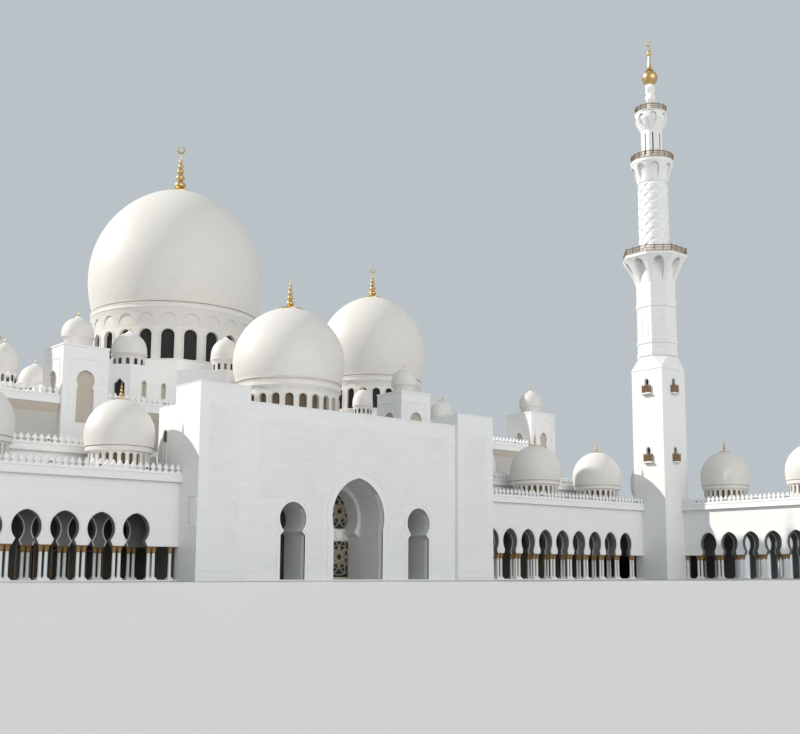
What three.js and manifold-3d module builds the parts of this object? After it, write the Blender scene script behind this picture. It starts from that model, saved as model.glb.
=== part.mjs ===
// Domed mosque with portal, arcades and minaret, a scale model at 1:10.
// Millimetres of the model, +Z up: 100 mm stand for one metre of the building.
// Origin on the ground, on the portal's axis, in the outer face of the arcades.
// +X runs along the front to the right, +Y runs into the building.
import * as THREE from 'three';
import { mergeVertices } from 'three/addons/utils/BufferGeometryUtils.js';
import Module from 'manifold-3d';

const wasm = await Module();
wasm.setup();

// Fit between neighbouring pieces
const GAP = 0.3;
const BITE = 5;

// Floor and walls
const FLOOR_TOP = 20;
const WALL = 120;
const THIN_WALL = 90;
const CORNICE_OUT = 50;

// Portal
const PORTAL_HALF = 2693;
const PYLON_WIDTH = 776;
const PYLON_FRONT = -468;
const PYLON_DEEP = 190;
const PYLON_TOP = 2630;
const PYLON_REAR = 650;
const PYLON_REAR_TOP = 2380;
const PORTAL_FRONT = -407;
const PORTAL_BACK = 160;
const PORTAL_TOP = 2440;
const PORTAL_INNER_BACK = 430;
const SIDE_ARCH_X = 1151.6;
const CENTRE_ARCH = {
  jamb: 460, impost: 740, neck: 460, neckZ: 740, wide: 485, wideZ: 920, apex: 1500, steps: 8,
};
const INNER_ARCH = {
  jamb: 460, impost: 650, neck: 365, neckZ: 720, wide: 430, wideZ: 940, apex: 1390, steps: 7,
};
const SIDE_ARCH = {
  jamb: 211, impost: 630, neck: 155, neckZ: 690, wide: 225, wideZ: 865, apex: 1100, steps: 6,
};
const SIDE_DOOR = { half: 150, head: 800 };
const PORTAL_ROOF = 80;
const SCREEN_THICK = 15;
const SCREEN_LAP = 40;

// Prayer hall
const HALL_HALF = 6930;
const HALL_FRONT = 2100;
const HALL_BACK = 8400;
const HALL_WALL_TOP = 2440;
const HALL_ROOF_TOP = 2520;
const HALL_CORNICE_TOP = 2640;
const HALL_ENTRANCE_HALF = 1780;
const HALL_ENTRANCE_TOP = 2100;
const HALL_WINDOW = { half: 110, sill: 700, head: 1500, pitch: 960 };
const PARAPET = 60;

// Aisle between the arcades and the prayer hall
const AISLE_FRONT = 1200;
const AISLE_TOP = 1710;
const AISLE_CORNICE_TOP = 1825;
const AISLE_ROOF = 80;
const AISLE_DOOR = { half: 120, head: 560 };

// Arcades
const ARCADE_DEPTH = 1200;
const OUTER_ROW = 44;
const MIDDLE_ROW = 600;
const MIDDLE_HALF = 45;
const ARCADE_SOFFIT = 1300;
const ARCADE_TOP = 1415;
const ARCADE_SLAB = 75;
const CAPITAL_BOTTOM = 368;
const CAPITAL_TOP = 451;
const COLUMN_BASE_TOP = 44;
const COLUMN_RADIUS = 22;
const COLUMN_HALF_SPACING = 36.5;
const PAIR_HALF = 73;
const PAIR_HALF_DEPTH = 36;
const OUTER_COLUMN_SIDES = 6;
const MIDDLE_COLUMN_SIDES = 4;
const ARCADE_ARCH = { impost: CAPITAL_TOP, neck: 133, neckZ: 520, wideZ: 662, apex: 876, steps: 4 };
const ARCADE_ARCH_WIDE = 0.396;

const LEFT_BAY = 477.6;
const LEFT_FIRST_PAIR = -3059;
const LEFT_BAYS = 6;
const LEFT_SINGLE = -2785;
const LEFT_END = -6090;

const RIGHT_BAY = 439.5;
const RIGHT_FIRST_PAIR = 2896.5;
const RIGHT_BAYS = 9;
const RIGHT_SINGLE = 7125;

const RETURN_FACE = 7711;
const RETURN_BAY = 455.1;
const RETURN_FIRST_PAIR = -863;
const RETURN_BAYS = 6;
const RETURN_SINGLE = -585;
const RETURN_END = -3757;
const OUTER_FACE = 8911;

// Domes: radius at the widest ring, its height, the foot, the tip and the radius of the finial's seat
const MAIN_DOME = {
  x: 0, y: 5270, radius: 1600, widest: 5520, foot: 4850, footRadius: 1500, apex: 7345, cap: 190, sides: 28,
};
const PORTAL_DOME = {
  x: 0, y: 1470, radius: 896, widest: 3440, foot: 3110, footRadius: 835, apex: 4370, cap: 120, sides: 24,
};
const SIDE_DOME = {
  x: 4710, y: 5270, radius: 1142, widest: 4790, foot: 4190, footRadius: 1040, apex: 6060, cap: 130, sides: 24,
};
const ARCADE_DOME = {
  radius: 465, widest: 1945, foot: 1775, footRadius: 447, apex: 2435, cap: 45, sides: 12, tip: 2680,
};
const LEFT_DOME_X = [-3290, -5200];
const RIGHT_DOME_X = [3165, 4830, 6550];
const CORNER_DOME = [8310, 600];
const RETURN_DOME_Y = [-1107, -2930];
const DOME_WALL = 60;
const ARCADE_DRUM_RADIUS = 400;
const ARCADE_DRUM_TOP = 1690;
const ARCADE_RING = 1730;
const DOME_RING_OUT = 15;
const DRUM_FLARE = 130;

// Drums: outer radius, foot and window sizes; the first window stands at the phase angle
const WINDOWS_PER_DRUM = 24;
const DRUM_PHASE = Math.PI / 15;
const MAIN_DRUM = { radius: 1490, bottom: 3720, sill: 3790, head: 4360, half: 128 };
const PORTAL_DRUM = { radius: 810, bottom: 2440, sill: 2560, head: 2870, half: 72 };
const SIDE_DRUM = { radius: 1030, bottom: 3400, sill: 3470, head: 3910, half: 86 };
const DRUM_WALL = 90;

// Proportions of a cupola: rise of the bulb in its height, ring and spike in its radius
const CUPOLA = { rise: 0.62, ring: 0.86, ringHeight: 0.6, spike: 0.2 };

// Upper block that carries the main dome, its windows and cupolas in one quarter, and the plinths
const BLOCK_TOP = 3420;
const BLOCK_ROOF = 80;
const BLOCK_FRONT = [[-2240, 3235], [-1990, 2985], [-1170, 2985], [-585, 2400]];
const BLOCK_SILL = 2900;
const BLOCK_WINDOWS = [
  { x: 2115, y: 3110, turn: Math.PI / 4, half: 92, head: 3190 },
  { x: 1750, y: 2985, turn: 0, half: 45, head: 3180 },
  { x: 1405, y: 2985, turn: 0, half: 45, head: 3180 },
  { x: 1072, y: 2887, turn: Math.PI / 4, half: 45, head: 3180 },
  { x: 877, y: 2692, turn: Math.PI / 4, half: 45, head: 3180 },
  { x: 682, y: 2497, turn: Math.PI / 4, half: 45, head: 3180 },
];
const BLOCK_CUPOLAS = [{ x: 1850, y: 3350, radius: 280 }, { x: 440, y: 2700, radius: 240 }];
const BLOCK_CUPOLA_APEX = 3992;
const PLINTH_HALF = 1800;
const PLINTH_CHAMFER = 890;
const SIDE_BLOCK_HALF = 1270;
const SIDE_BLOCK_TOP = 3250;
const SIDE_PLINTH_HALF = 1180;
const SIDE_PLINTH_CHAMFER = 660;
const SIDE_CUPOLA = { out: 1080, radius: 200, apex: 3770 };

// Turrets on the front of the hall roof, one to each side
const TURRET = { x: 4177, y: 2518, radius: 204, widest: 2990, apex: 3360 };

// Gilded finials: tips, radius and thickness of their crescents, and beads as shares of the height
const MAIN_FINIAL = { top: 8040, crescent: 110, thick: 24 };
const SIDE_FINIAL = { top: 6620, crescent: 75, thick: 20 };
const PORTAL_FINIAL_TOP = 4870;
const FINIAL_SIDES = 8;
const FINIAL_BEADS = [[0.05, 0.08], [0.075, 0.17], [0.035, 0.28], [0.062, 0.4], [0.025, 0.52], [0.045, 0.62]];
const CRESCENT = { open: 0.25, inner: 0.74, lift: 0.14, steps: 8 };
const MINARET_FINIAL = { top: 10832, crescent: 62, thick: 18 };

// Corner towers of the prayer hall
const TOWER_WIDTH = 700;
const TOWER_FRONT = 2010;
const TOWER_TOPS = { inner: 3400, outer: 3350 };
const TOWER_EDGES = { inner: 3520, outer: 6930 };
const TOWER_NICHE = {
  jamb: 135, impost: 2745, neck: 112, neckZ: 2790, wide: 140, wideZ: 2890, apex: 3040, steps: 2,
};
const NICHE_SILL = 2260;
const NICHE_DEPTH = 45;
const TOWER_WALL = 100;
const TOWER_CUPOLA = { radius: 232, rise: 470 };

// Minaret
const MINARET_X = 7515;
const MINARET_Y = -188;
const MINARET_HALF = 362;
const MINARET_SQUARE_TOP = 4040;
const OCTAGON_BOTTOM = 4285;
const GALLERY_ONE = 6300;
const GALLERY_SLAB = 60;
const GALLERY_TWO = 8275;
const GALLERY_THREE = 9305;
const STEM_TOP = 9940;
const MINARET_WALL = 80;
const BALCONY_LEVELS = [2230, 3560];
const BALCONY = { half: 105, out: 75, slab: 25 };
const BALCONY_DOOR = { half: 50, height: 290 };
const BAND = 14;
const BANDS = [[OCTAGON_BOTTOM, 4380], [4535, 4630], [5260, 5385]];
const GALLERY_ONE_HALF = 600;
const OCTAGON_FLARE = [[0, 5757], [60, 5940], [150, 6120]];
const SHAFT_FLARE = [[295, 7830], [365, 8070], [430, 8215], [430, GALLERY_TWO]];
const SHAFT_BORE = 215;
const LANTERN_FLARE = [[217, 8920], [310, 9165], [327, 9190], [327, GALLERY_THREE]];
const STEM = [[72, GALLERY_THREE], [70, 9540], [105, 9620], [60, 9690], [100, 9790], [85, STEM_TOP]];
const BALL = { centre: 10090, radius: 157 };
const SPINDLE = [[55, 10255], [24, 10540], [46, 10620]];

const COLOURS = {
  marble: { color: 0xf1efec, roughness: 0.45, metalness: 0 },
  dome: { color: 0xefebe6, roughness: 0.5, metalness: 0 },
  gold: { color: 0xc8964a, roughness: 0.3, metalness: 0.9 },
  glass: { color: 0x3b3f44, roughness: 0.15, metalness: 0 },
};

const group = new THREE.Group();

// A closed geometry as a solid, with its faces turned outwards
function solid(geometry) {
  const bare = geometry.index ? geometry.clone() : geometry;
  bare.deleteAttribute('normal');
  bare.deleteAttribute('uv');
  const merged = mergeVertices(bare, 1e-3);
  const vertices = Float32Array.from(merged.attributes.position.array);
  const source = merged.index.array;
  const triangles = [];
  for (let i = 0; i < source.length; i += 3) {
    const [a, b, c] = [source[i], source[i + 1], source[i + 2]];
    if (a !== b && b !== c && c !== a) triangles.push(a, b, c);
  }
  if (signedVolume(vertices, triangles) < 0) triangles.reverse();
  return new wasm.Manifold(new wasm.Mesh({
    numProp: 3,
    vertProperties: vertices,
    triVerts: Uint32Array.from(triangles),
  }));
}

// Six times the enclosed volume, negative when the faces point inwards
function signedVolume(v, triangles) {
  let sum = 0;
  for (let i = 0; i < triangles.length; i += 3) {
    const [a, b, c] = [triangles[i] * 3, triangles[i + 1] * 3, triangles[i + 2] * 3];
    sum += v[a] * (v[b + 1] * v[c + 2] - v[b + 2] * v[c + 1]);
    sum += v[a + 1] * (v[b + 2] * v[c] - v[b] * v[c + 2]);
    sum += v[a + 2] * (v[b] * v[c + 1] - v[b + 1] * v[c]);
  }
  return sum;
}

// Adds a finished solid to the building as a named mesh
function addPiece(name, piece, finish) {
  const mesh = piece.getMesh();
  const geometry = new THREE.BufferGeometry();
  geometry.setAttribute('position', new THREE.BufferAttribute(Float32Array.from(mesh.vertProperties), 3));
  geometry.setIndex(new THREE.BufferAttribute(Uint32Array.from(mesh.triVerts), 1));
  geometry.computeVertexNormals();
  const node = new THREE.Mesh(geometry, new THREE.MeshStandardMaterial(COLOURS[finish]));
  node.name = name;
  group.add(node);
}

function join(pieces) {
  return pieces.reduce((sum, piece) => sum.add(piece));
}

function cut(body, tools) {
  return tools.length ? body.subtract(join(tools)) : body;
}

function box(x0, x1, y0, y1, z0, z1) {
  const geometry = new THREE.BoxGeometry(x1 - x0, y1 - y0, z1 - z0);
  geometry.translate((x0 + x1) / 2, (y0 + y1) / 2, (z0 + z1) / 2);
  return solid(geometry);
}

function outline(points) {
  return new THREE.Shape(points.map(([a, b]) => new THREE.Vector2(a, b)));
}

// Extrusions of an outline along each axis
function alongZ(points, z0, z1) {
  const geometry = new THREE.ExtrudeGeometry(outline(points), { depth: z1 - z0, bevelEnabled: false });
  geometry.translate(0, 0, z0);
  return solid(geometry);
}

function alongY(points, y0, y1) {
  const geometry = new THREE.ExtrudeGeometry(outline(points), { depth: y1 - y0, bevelEnabled: false });
  geometry.rotateX(Math.PI / 2);
  geometry.translate(0, y1, 0);
  return solid(geometry);
}

function alongX(points, x0, x1) {
  const geometry = new THREE.ExtrudeGeometry(outline(points), { depth: x1 - x0, bevelEnabled: false });
  const turn = new THREE.Matrix4().makeBasis(
    new THREE.Vector3(0, 1, 0), new THREE.Vector3(0, 0, 1), new THREE.Vector3(1, 0, 0));
  geometry.applyMatrix4(turn);
  geometry.translate(x0, 0, 0);
  return solid(geometry);
}

// A profile of radius and height turned about an upright axis
function turned(points, sides, x = 0, y = 0, phase = 0) {
  const profile = points.map(([r, z]) => new THREE.Vector2(r, z));
  const geometry = new THREE.LatheGeometry(profile, sides);
  geometry.rotateX(Math.PI / 2);
  geometry.rotateZ(phase);
  geometry.translate(x, y, 0);
  return solid(geometry);
}

function cylinder(x, y, radius, z0, z1, sides, phase) {
  return turned([[0, z0], [radius, z0], [radius, z1], [0, z1]], sides, x, y, phase);
}

// Outline of a keyhole arch: jambs, corbels to a neck, a horseshoe and a slightly pointed head.
// The corners inside each curve stand outside it, so that the sides touch the curve.
function keyhole(arch, centre, bottom) {
  const right = [[arch.jamb, bottom]];
  if (arch.impost > bottom) right.push([arch.jamb, arch.impost]);
  const sweep = Math.acos(arch.neck / arch.wide);
  const drop = (arch.wideZ - arch.neckZ) / Math.sin(sweep);
  const lowSteps = Math.ceil(arch.steps / 2);
  const lowReach = 1 / Math.cos(sweep / lowSteps / 2);
  for (let i = 0; i < lowSteps; i += 1) {
    const t = -sweep * (1 - i / lowSteps);
    const reach = i > 0 ? lowReach : 1;
    right.push([arch.wide * reach * Math.cos(t), arch.wideZ + drop * reach * Math.sin(t)]);
  }
  const rise = arch.apex - arch.wideZ;
  const shift = (rise * rise - arch.wide * arch.wide) / (2 * arch.wide);
  const end = Math.acos(shift / (arch.wide + shift));
  const radius = (arch.wide + shift) / Math.cos(end / arch.steps / 2);
  right.push([arch.wide, arch.wideZ]);
  for (let i = 1; i < arch.steps; i += 1) {
    const t = end * i / arch.steps;
    right.push([radius * Math.cos(t) - shift, arch.wideZ + radius * Math.sin(t)]);
  }
  const spaced = right.filter(([r, z], i) => i === 0
    || Math.hypot(r - right[i - 1][0], z - right[i - 1][1]) > 1);
  const left = spaced.map(([r, z]) => [centre - r, z]).reverse();
  return [...spaced.map(([r, z]) => [centre + r, z]), [centre, arch.apex], ...left];
}

// Outline of a window with a round head
function roundHead(centre, half, sill, head, steps = 2) {
  const points = [[centre - half, sill], [centre + half, sill]];
  for (let i = 0; i <= steps; i += 1) {
    const t = Math.PI * i / steps;
    points.push([centre + half * Math.cos(t), head - half + half * Math.sin(t)]);
  }
  return points;
}

// Dome profile: a bulb that swells from its foot to the widest ring and closes in a slight point
function domeProfile(dome, inset, lowSteps, highSteps) {
  const wide = dome.radius - inset;
  const foot = dome.footRadius - inset;
  const sweep = Math.acos(foot / wide);
  const drop = (dome.widest - dome.foot) / Math.sin(sweep);
  const points = [];
  for (let i = 0; i < lowSteps; i += 1) {
    const t = -sweep * (1 - i / lowSteps);
    points.push([wide * Math.cos(t), dome.widest + drop * Math.sin(t)]);
  }
  const rise = dome.apex - inset - dome.widest;
  const shift = (rise * rise - wide * wide) / (2 * wide);
  const end = Math.acos((dome.cap + shift) / (wide + shift));
  for (let i = 0; i <= highSteps; i += 1) {
    const t = end * i / highSteps;
    points.push([(wide + shift) * Math.cos(t) - shift, dome.widest + (wide + shift) * Math.sin(t)]);
  }
  points.push([0, points.at(-1)[1]]);
  return points;
}

// Height of the flat seat that the finial stands on
function seatHeight(dome) {
  return domeProfile(dome, 0, 1, 1).at(-1)[1];
}

// Hollow dome, open at its foot
function domeShell(dome, x, y) {
  const outer = turned([[0, dome.foot], ...domeProfile(dome, 0, 2, 5)], dome.sides, x, y);
  const inside = domeProfile(dome, DOME_WALL, 1, 3);
  const inner = turned([[0, dome.foot - BITE], [inside[0][0], dome.foot - BITE], ...inside],
    dome.sides / 2, x, y);
  return outer.subtract(inner);
}

// Round wall under a dome with a ring of arched windows cut through it
function drumWall(drum, dome, x, y) {
  const inner = drum.radius - DRUM_WALL;
  const flare = dome.foot - DRUM_FLARE;
  const ring = turned([
    [inner, drum.bottom], [drum.radius, drum.bottom], [drum.radius, flare],
    [dome.footRadius + DOME_RING_OUT, dome.foot - GAP], [inner, dome.foot - GAP], [inner, drum.bottom],
  ], WINDOWS_PER_DRUM, x, y, DRUM_PHASE + Math.PI / WINDOWS_PER_DRUM);
  const tools = [];
  for (let i = 0; i < WINDOWS_PER_DRUM / 2; i += 1) {
    const angle = DRUM_PHASE - Math.PI / 2 + 2 * Math.PI * i / WINDOWS_PER_DRUM;
    const window = new THREE.ExtrudeGeometry(outline(roundHead(0, drum.half, drum.sill, drum.head)),
      { depth: 2 * (drum.radius + DRUM_WALL), bevelEnabled: false });
    window.rotateX(Math.PI / 2);
    window.translate(0, drum.radius + DRUM_WALL, 0);
    window.rotateZ(angle);
    window.translate(x, y, 0);
    tools.push(solid(window));
  }
  return cut(ring, tools);
}

// Small solid cupola: a low ring, a bulb of three steps and a spike that stands a little over the apex
function cupola(x, y, radius, bottom, apex, widest = apex - (apex - bottom) * CUPOLA.rise) {
  const rise = apex - widest;
  const ring = radius * CUPOLA.ring;
  const profile = [[0, bottom], [ring, bottom], [ring, bottom + (widest - bottom) * CUPOLA.ringHeight]];
  for (let i = 0; i < 3; i += 1) {
    const t = Math.PI / 6 * i;
    profile.push([radius * Math.cos(t), widest + rise * Math.sin(t)]);
  }
  profile.push([0, apex + radius * CUPOLA.spike]);
  return turned(profile, 8, x, y);
}

// Turned gilded finial on a dome's seat: cap, beads and spindle
function domeFinial(dome, top, x, y) {
  const bottom = seatHeight(dome) + GAP;
  const h = top - bottom;
  return turned([
    [0, bottom], [dome.cap, bottom], ...FINIAL_BEADS.map(([r, z]) => [h * r, bottom + h * z]), [0, top],
  ], FINIAL_SIDES, x, y);
}

function crescentFinial(dome, finial, x, y) {
  const moon = crescent(x, y, finial.top - finial.thick, finial.crescent, finial.thick);
  return domeFinial(dome, finial.top, x, y).add(moon);
}

// Upright crescent, a flat lune that faces the front: an outer arc and a smaller inner arc, set higher
function crescent(x, y, bottom, radius, thickness) {
  const centre = bottom + radius;
  const arc = (r, lift, from, to) => Array.from({ length: Math.abs(to - from) + 1 }, (_, i) => {
    const step = from + Math.sign(to - from) * i;
    const t = Math.PI / 2 + CRESCENT.open + 2 * (Math.PI - CRESCENT.open) * step / CRESCENT.steps;
    return [x + r * Math.cos(t), centre + lift + r * Math.sin(t)];
  });
  const inner = radius * CRESCENT.inner;
  return alongY([
    ...arc(radius, 0, 0, CRESCENT.steps), ...arc(inner, radius * CRESCENT.lift, CRESCENT.steps - 1, 1),
  ], y - thickness / 2, y + thickness / 2);
}

// Shaft of a column, from the floor up into its capital
function column(x, y, sides) {
  return cylinder(x, y, COLUMN_RADIUS, FLOOR_TOP - BITE, CAPITAL_BOTTOM + BITE, sides, Math.PI / sides);
}

// Columns of one row, in pairs under shared capital blocks; the outer row has base blocks too
function columnRow(places, across, along, outer) {
  const pieces = [];
  const sides = outer ? OUTER_COLUMN_SIDES : MIDDLE_COLUMN_SIDES;
  const blocks = outer ? [[FLOOR_TOP - BITE, COLUMN_BASE_TOP], [CAPITAL_BOTTOM, CAPITAL_TOP]]
    : [[CAPITAL_BOTTOM, CAPITAL_TOP]];
  for (const { at, single } of places) {
    const half = single ? PAIR_HALF / 2 : PAIR_HALF;
    const offsets = single ? [0] : [-COLUMN_HALF_SPACING, COLUMN_HALF_SPACING];
    for (const offset of offsets) {
      pieces.push(along === 'x' ? column(at + offset, across, sides) : column(across, at + offset, sides));
    }
    for (const [low, high] of blocks) {
      pieces.push(along === 'x'
        ? box(at - half, at + half, across - PAIR_HALF_DEPTH, across + PAIR_HALF_DEPTH, low, high)
        : box(across - PAIR_HALF_DEPTH, across + PAIR_HALF_DEPTH, at - half, at + half, low, high));
    }
  }
  return pieces;
}

function pairPlaces(first, bay, bays, singles) {
  const places = singles.map((at) => ({ at, single: true }));
  for (let k = 0; k <= bays; k += 1) places.push({ at: first + k * bay, single: false });
  return places;
}

function bayCentres(first, bay, bays) {
  return Array.from({ length: bays }, (_, k) => first + (k + 0.5) * bay);
}

// Keyhole arch of an arcade, as wide as its bay asks for
function bayArch(bay) {
  return { ...ARCADE_ARCH, jamb: bay / 2 - PAIR_HALF, wide: ARCADE_ARCH_WIDE * bay };
}

function archTools(first, bay, bays, bottom = CAPITAL_TOP - BITE) {
  const arch = bayArch(Math.abs(bay));
  return bayCentres(first, bay, bays).map((centre) => keyhole(arch, centre, bottom));
}

function makeFloor() {
  const hall = box(-HALL_HALF, HALL_HALF, AISLE_FRONT, HALL_BACK, 0, FLOOR_TOP - GAP);
  const portal = box(-PORTAL_HALF, PORTAL_HALF, PYLON_FRONT, AISLE_FRONT + BITE, 0, FLOOR_TOP - GAP);
  addPiece('ground_floor', hall.add(portal), 'marble');
}

function makePortal() {
  const inner = PORTAL_HALF - PYLON_WIDTH;
  const tunnels = [
    alongY(keyhole(CENTRE_ARCH, 0, FLOOR_TOP - BITE), PORTAL_FRONT - BITE, PORTAL_BACK + BITE),
    ...[-SIDE_ARCH_X, SIDE_ARCH_X].map((x) => alongY(keyhole(SIDE_ARCH, x, FLOOR_TOP - BITE),
      PORTAL_FRONT - BITE, PORTAL_BACK + BITE)),
  ];
  const front = box(-inner + GAP, inner - GAP, PORTAL_FRONT, PORTAL_BACK, FLOOR_TOP, PORTAL_TOP);
  addPiece('portal_front', cut(front, tunnels), 'marble');
  for (const [side, sign] of [['left', -1], ['right', 1]]) {
    const low = Math.min(sign * inner, sign * PORTAL_HALF);
    const stepped = alongX([
      [PYLON_FRONT, FLOOR_TOP], [AISLE_FRONT - GAP, FLOOR_TOP], [AISLE_FRONT - GAP, AISLE_TOP],
      [PYLON_REAR, AISLE_TOP], [PYLON_REAR, PYLON_REAR_TOP], [PYLON_DEEP, PYLON_REAR_TOP],
      [PYLON_DEEP, PYLON_TOP], [PYLON_FRONT, PYLON_TOP],
    ], low, low + PYLON_WIDTH);
    const hollow = alongX([
      [PYLON_FRONT + WALL, FLOOR_TOP - BITE], [AISLE_FRONT - WALL, FLOOR_TOP - BITE],
      [AISLE_FRONT - WALL, AISLE_TOP - WALL], [PYLON_REAR - WALL, AISLE_TOP - WALL],
      [PYLON_REAR - WALL, PYLON_REAR_TOP - WALL], [PYLON_FRONT + WALL, PYLON_REAR_TOP - WALL],
    ], low + WALL, low + PYLON_WIDTH - WALL);
    addPiece(`portal_pylon_${side}`, stepped.subtract(hollow), 'marble');
  }
}

function makePortalHall() {
  const side = PORTAL_HALF - PYLON_WIDTH - GAP;
  const back = HALL_FRONT - GAP;
  const walls = [
    box(-side, side, PORTAL_BACK + GAP, PORTAL_INNER_BACK, FLOOR_TOP, PORTAL_TOP - GAP),
    box(-side, -side + WALL, PORTAL_INNER_BACK - BITE, back, FLOOR_TOP, PORTAL_TOP - GAP),
    box(side - WALL, side, PORTAL_INNER_BACK - BITE, back, FLOOR_TOP, PORTAL_TOP - GAP),
    box(-side, side, PORTAL_BACK + GAP, back, PORTAL_TOP - PORTAL_ROOF, PORTAL_TOP - GAP),
  ];
  const doors = [
    keyhole(INNER_ARCH, 0, FLOOR_TOP - BITE),
    roundHead(-SIDE_ARCH_X, SIDE_DOOR.half, FLOOR_TOP - BITE, SIDE_DOOR.head),
    roundHead(SIDE_ARCH_X, SIDE_DOOR.half, FLOOR_TOP - BITE, SIDE_DOOR.head),
  ].map((points) => alongY(points, PORTAL_BACK - BITE, PORTAL_INNER_BACK + BITE));
  const well = cylinder(PORTAL_DOME.x, PORTAL_DOME.y, PORTAL_DRUM.radius - DRUM_WALL,
    PORTAL_TOP - PORTAL_ROOF - BITE, PORTAL_TOP + BITE, WINDOWS_PER_DRUM, 0);
  addPiece('portal_hall', cut(join(walls), [...doors, well]), 'marble');
  const half = INNER_ARCH.jamb + SCREEN_LAP;
  const near = PORTAL_INNER_BACK + GAP;
  const screen = box(-half, half, near, near + SCREEN_THICK, FLOOR_TOP, INNER_ARCH.apex + SCREEN_LAP);
  addPiece('entrance_screen', screen, 'glass');
}

function towerFootprints(grow) {
  const boxes = [];
  for (const [kind, edge] of Object.entries(TOWER_EDGES)) {
    for (const sign of [-1, 1]) {
      const low = sign > 0 ? edge - TOWER_WIDTH : -edge;
      boxes.push({
        name: `${kind}_tower_${sign > 0 ? 'right' : 'left'}`,
        kind,
        x0: low - grow,
        x1: low + TOWER_WIDTH + grow,
        y0: TOWER_FRONT - grow,
        y1: TOWER_FRONT + TOWER_WIDTH + grow,
      });
    }
  }
  return boxes;
}

function towerTools() {
  return towerFootprints(GAP).map((t) => box(t.x0, t.x1, t.y0, t.y1, AISLE_TOP, TOWER_TOPS.inner));
}

// Windows of a long wall, mirrored about its middle
function windowRow(from, to, make) {
  const count = Math.floor((to - from) / HALL_WINDOW.pitch);
  const first = (from + to) / 2 - (count - 1) * HALL_WINDOW.pitch / 2;
  const tools = [];
  for (let i = 0; i < count; i += 1) {
    const at = first + i * HALL_WINDOW.pitch;
    tools.push(make(roundHead(at, HALL_WINDOW.half, HALL_WINDOW.sill, HALL_WINDOW.head)));
  }
  return tools;
}

function makeHall() {
  const top = HALL_WALL_TOP - GAP;
  const front = box(-HALL_HALF, HALL_HALF, HALL_FRONT, HALL_FRONT + WALL, FLOOR_TOP, top);
  const entrance = box(-HALL_ENTRANCE_HALF, HALL_ENTRANCE_HALF, HALL_FRONT - BITE, HALL_FRONT + WALL + BITE,
    FLOOR_TOP - BITE, HALL_ENTRANCE_TOP);
  addPiece('hall_front_wall', cut(front, [entrance, ...towerTools()]), 'marble');
  const back = box(-HALL_HALF, HALL_HALF, HALL_BACK - WALL, HALL_BACK, FLOOR_TOP, top);
  addPiece('hall_back_wall', cut(back, windowRow(-HALL_HALF, HALL_HALF,
    (points) => alongY(points, HALL_BACK - WALL - BITE, HALL_BACK + BITE))), 'marble');
  for (const [name, x0] of [['hall_left_wall', -HALL_HALF], ['hall_right_wall', HALL_HALF - WALL]]) {
    const wall = box(x0, x0 + WALL, HALL_FRONT + WALL + GAP, HALL_BACK - WALL - GAP, FLOOR_TOP, top);
    const windows = windowRow(TOWER_FRONT + TOWER_WIDTH, HALL_BACK,
      (points) => alongX(points, x0 - BITE, x0 + WALL + BITE));
    addPiece(name, cut(wall, [...windows, ...towerTools()]), 'marble');
  }
}

function wellTool({ x, y }, drum, z0, z1) {
  return cylinder(x, y, drum.radius - DRUM_WALL, z0, z1, WINDOWS_PER_DRUM / 2, 0);
}

function makeHallRoof() {
  const slab = box(-HALL_HALF, HALL_HALF, HALL_FRONT, HALL_BACK, HALL_WALL_TOP, HALL_ROOF_TOP);
  const cornice = box(-HALL_HALF - CORNICE_OUT, HALL_HALF + CORNICE_OUT, HALL_FRONT - CORNICE_OUT,
    HALL_BACK + CORNICE_OUT, HALL_ROOF_TOP - BITE, HALL_CORNICE_TOP);
  const inside = box(-HALL_HALF + PARAPET, HALL_HALF - PARAPET, HALL_FRONT + PARAPET, HALL_BACK - PARAPET,
    HALL_ROOF_TOP, HALL_CORNICE_TOP + BITE);
  const [low, high] = [HALL_WALL_TOP - BITE, HALL_ROOF_TOP + BITE];
  const wells = [
    wellTool(MAIN_DOME, MAIN_DRUM, low, high),
    wellTool(SIDE_DOME, SIDE_DRUM, low, high),
    wellTool({ x: -SIDE_DOME.x, y: SIDE_DOME.y }, SIDE_DRUM, low, high),
  ];
  const portalDrum = cylinder(PORTAL_DOME.x, PORTAL_DOME.y, PORTAL_DRUM.radius + GAP, HALL_WALL_TOP - BITE,
    HALL_CORNICE_TOP + BITE, WINDOWS_PER_DRUM, DRUM_PHASE + Math.PI / WINDOWS_PER_DRUM);
  const turrets = [-TURRET.x, TURRET.x].map((x) => cupola(x, TURRET.y, TURRET.radius, HALL_ROOF_TOP - BITE,
    TURRET.apex, TURRET.widest));
  const open = cut(slab.add(cornice), [inside, portalDrum, ...wells, ...towerTools()]);
  addPiece('hall_roof', join([open, ...turrets]), 'marble');
}

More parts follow.
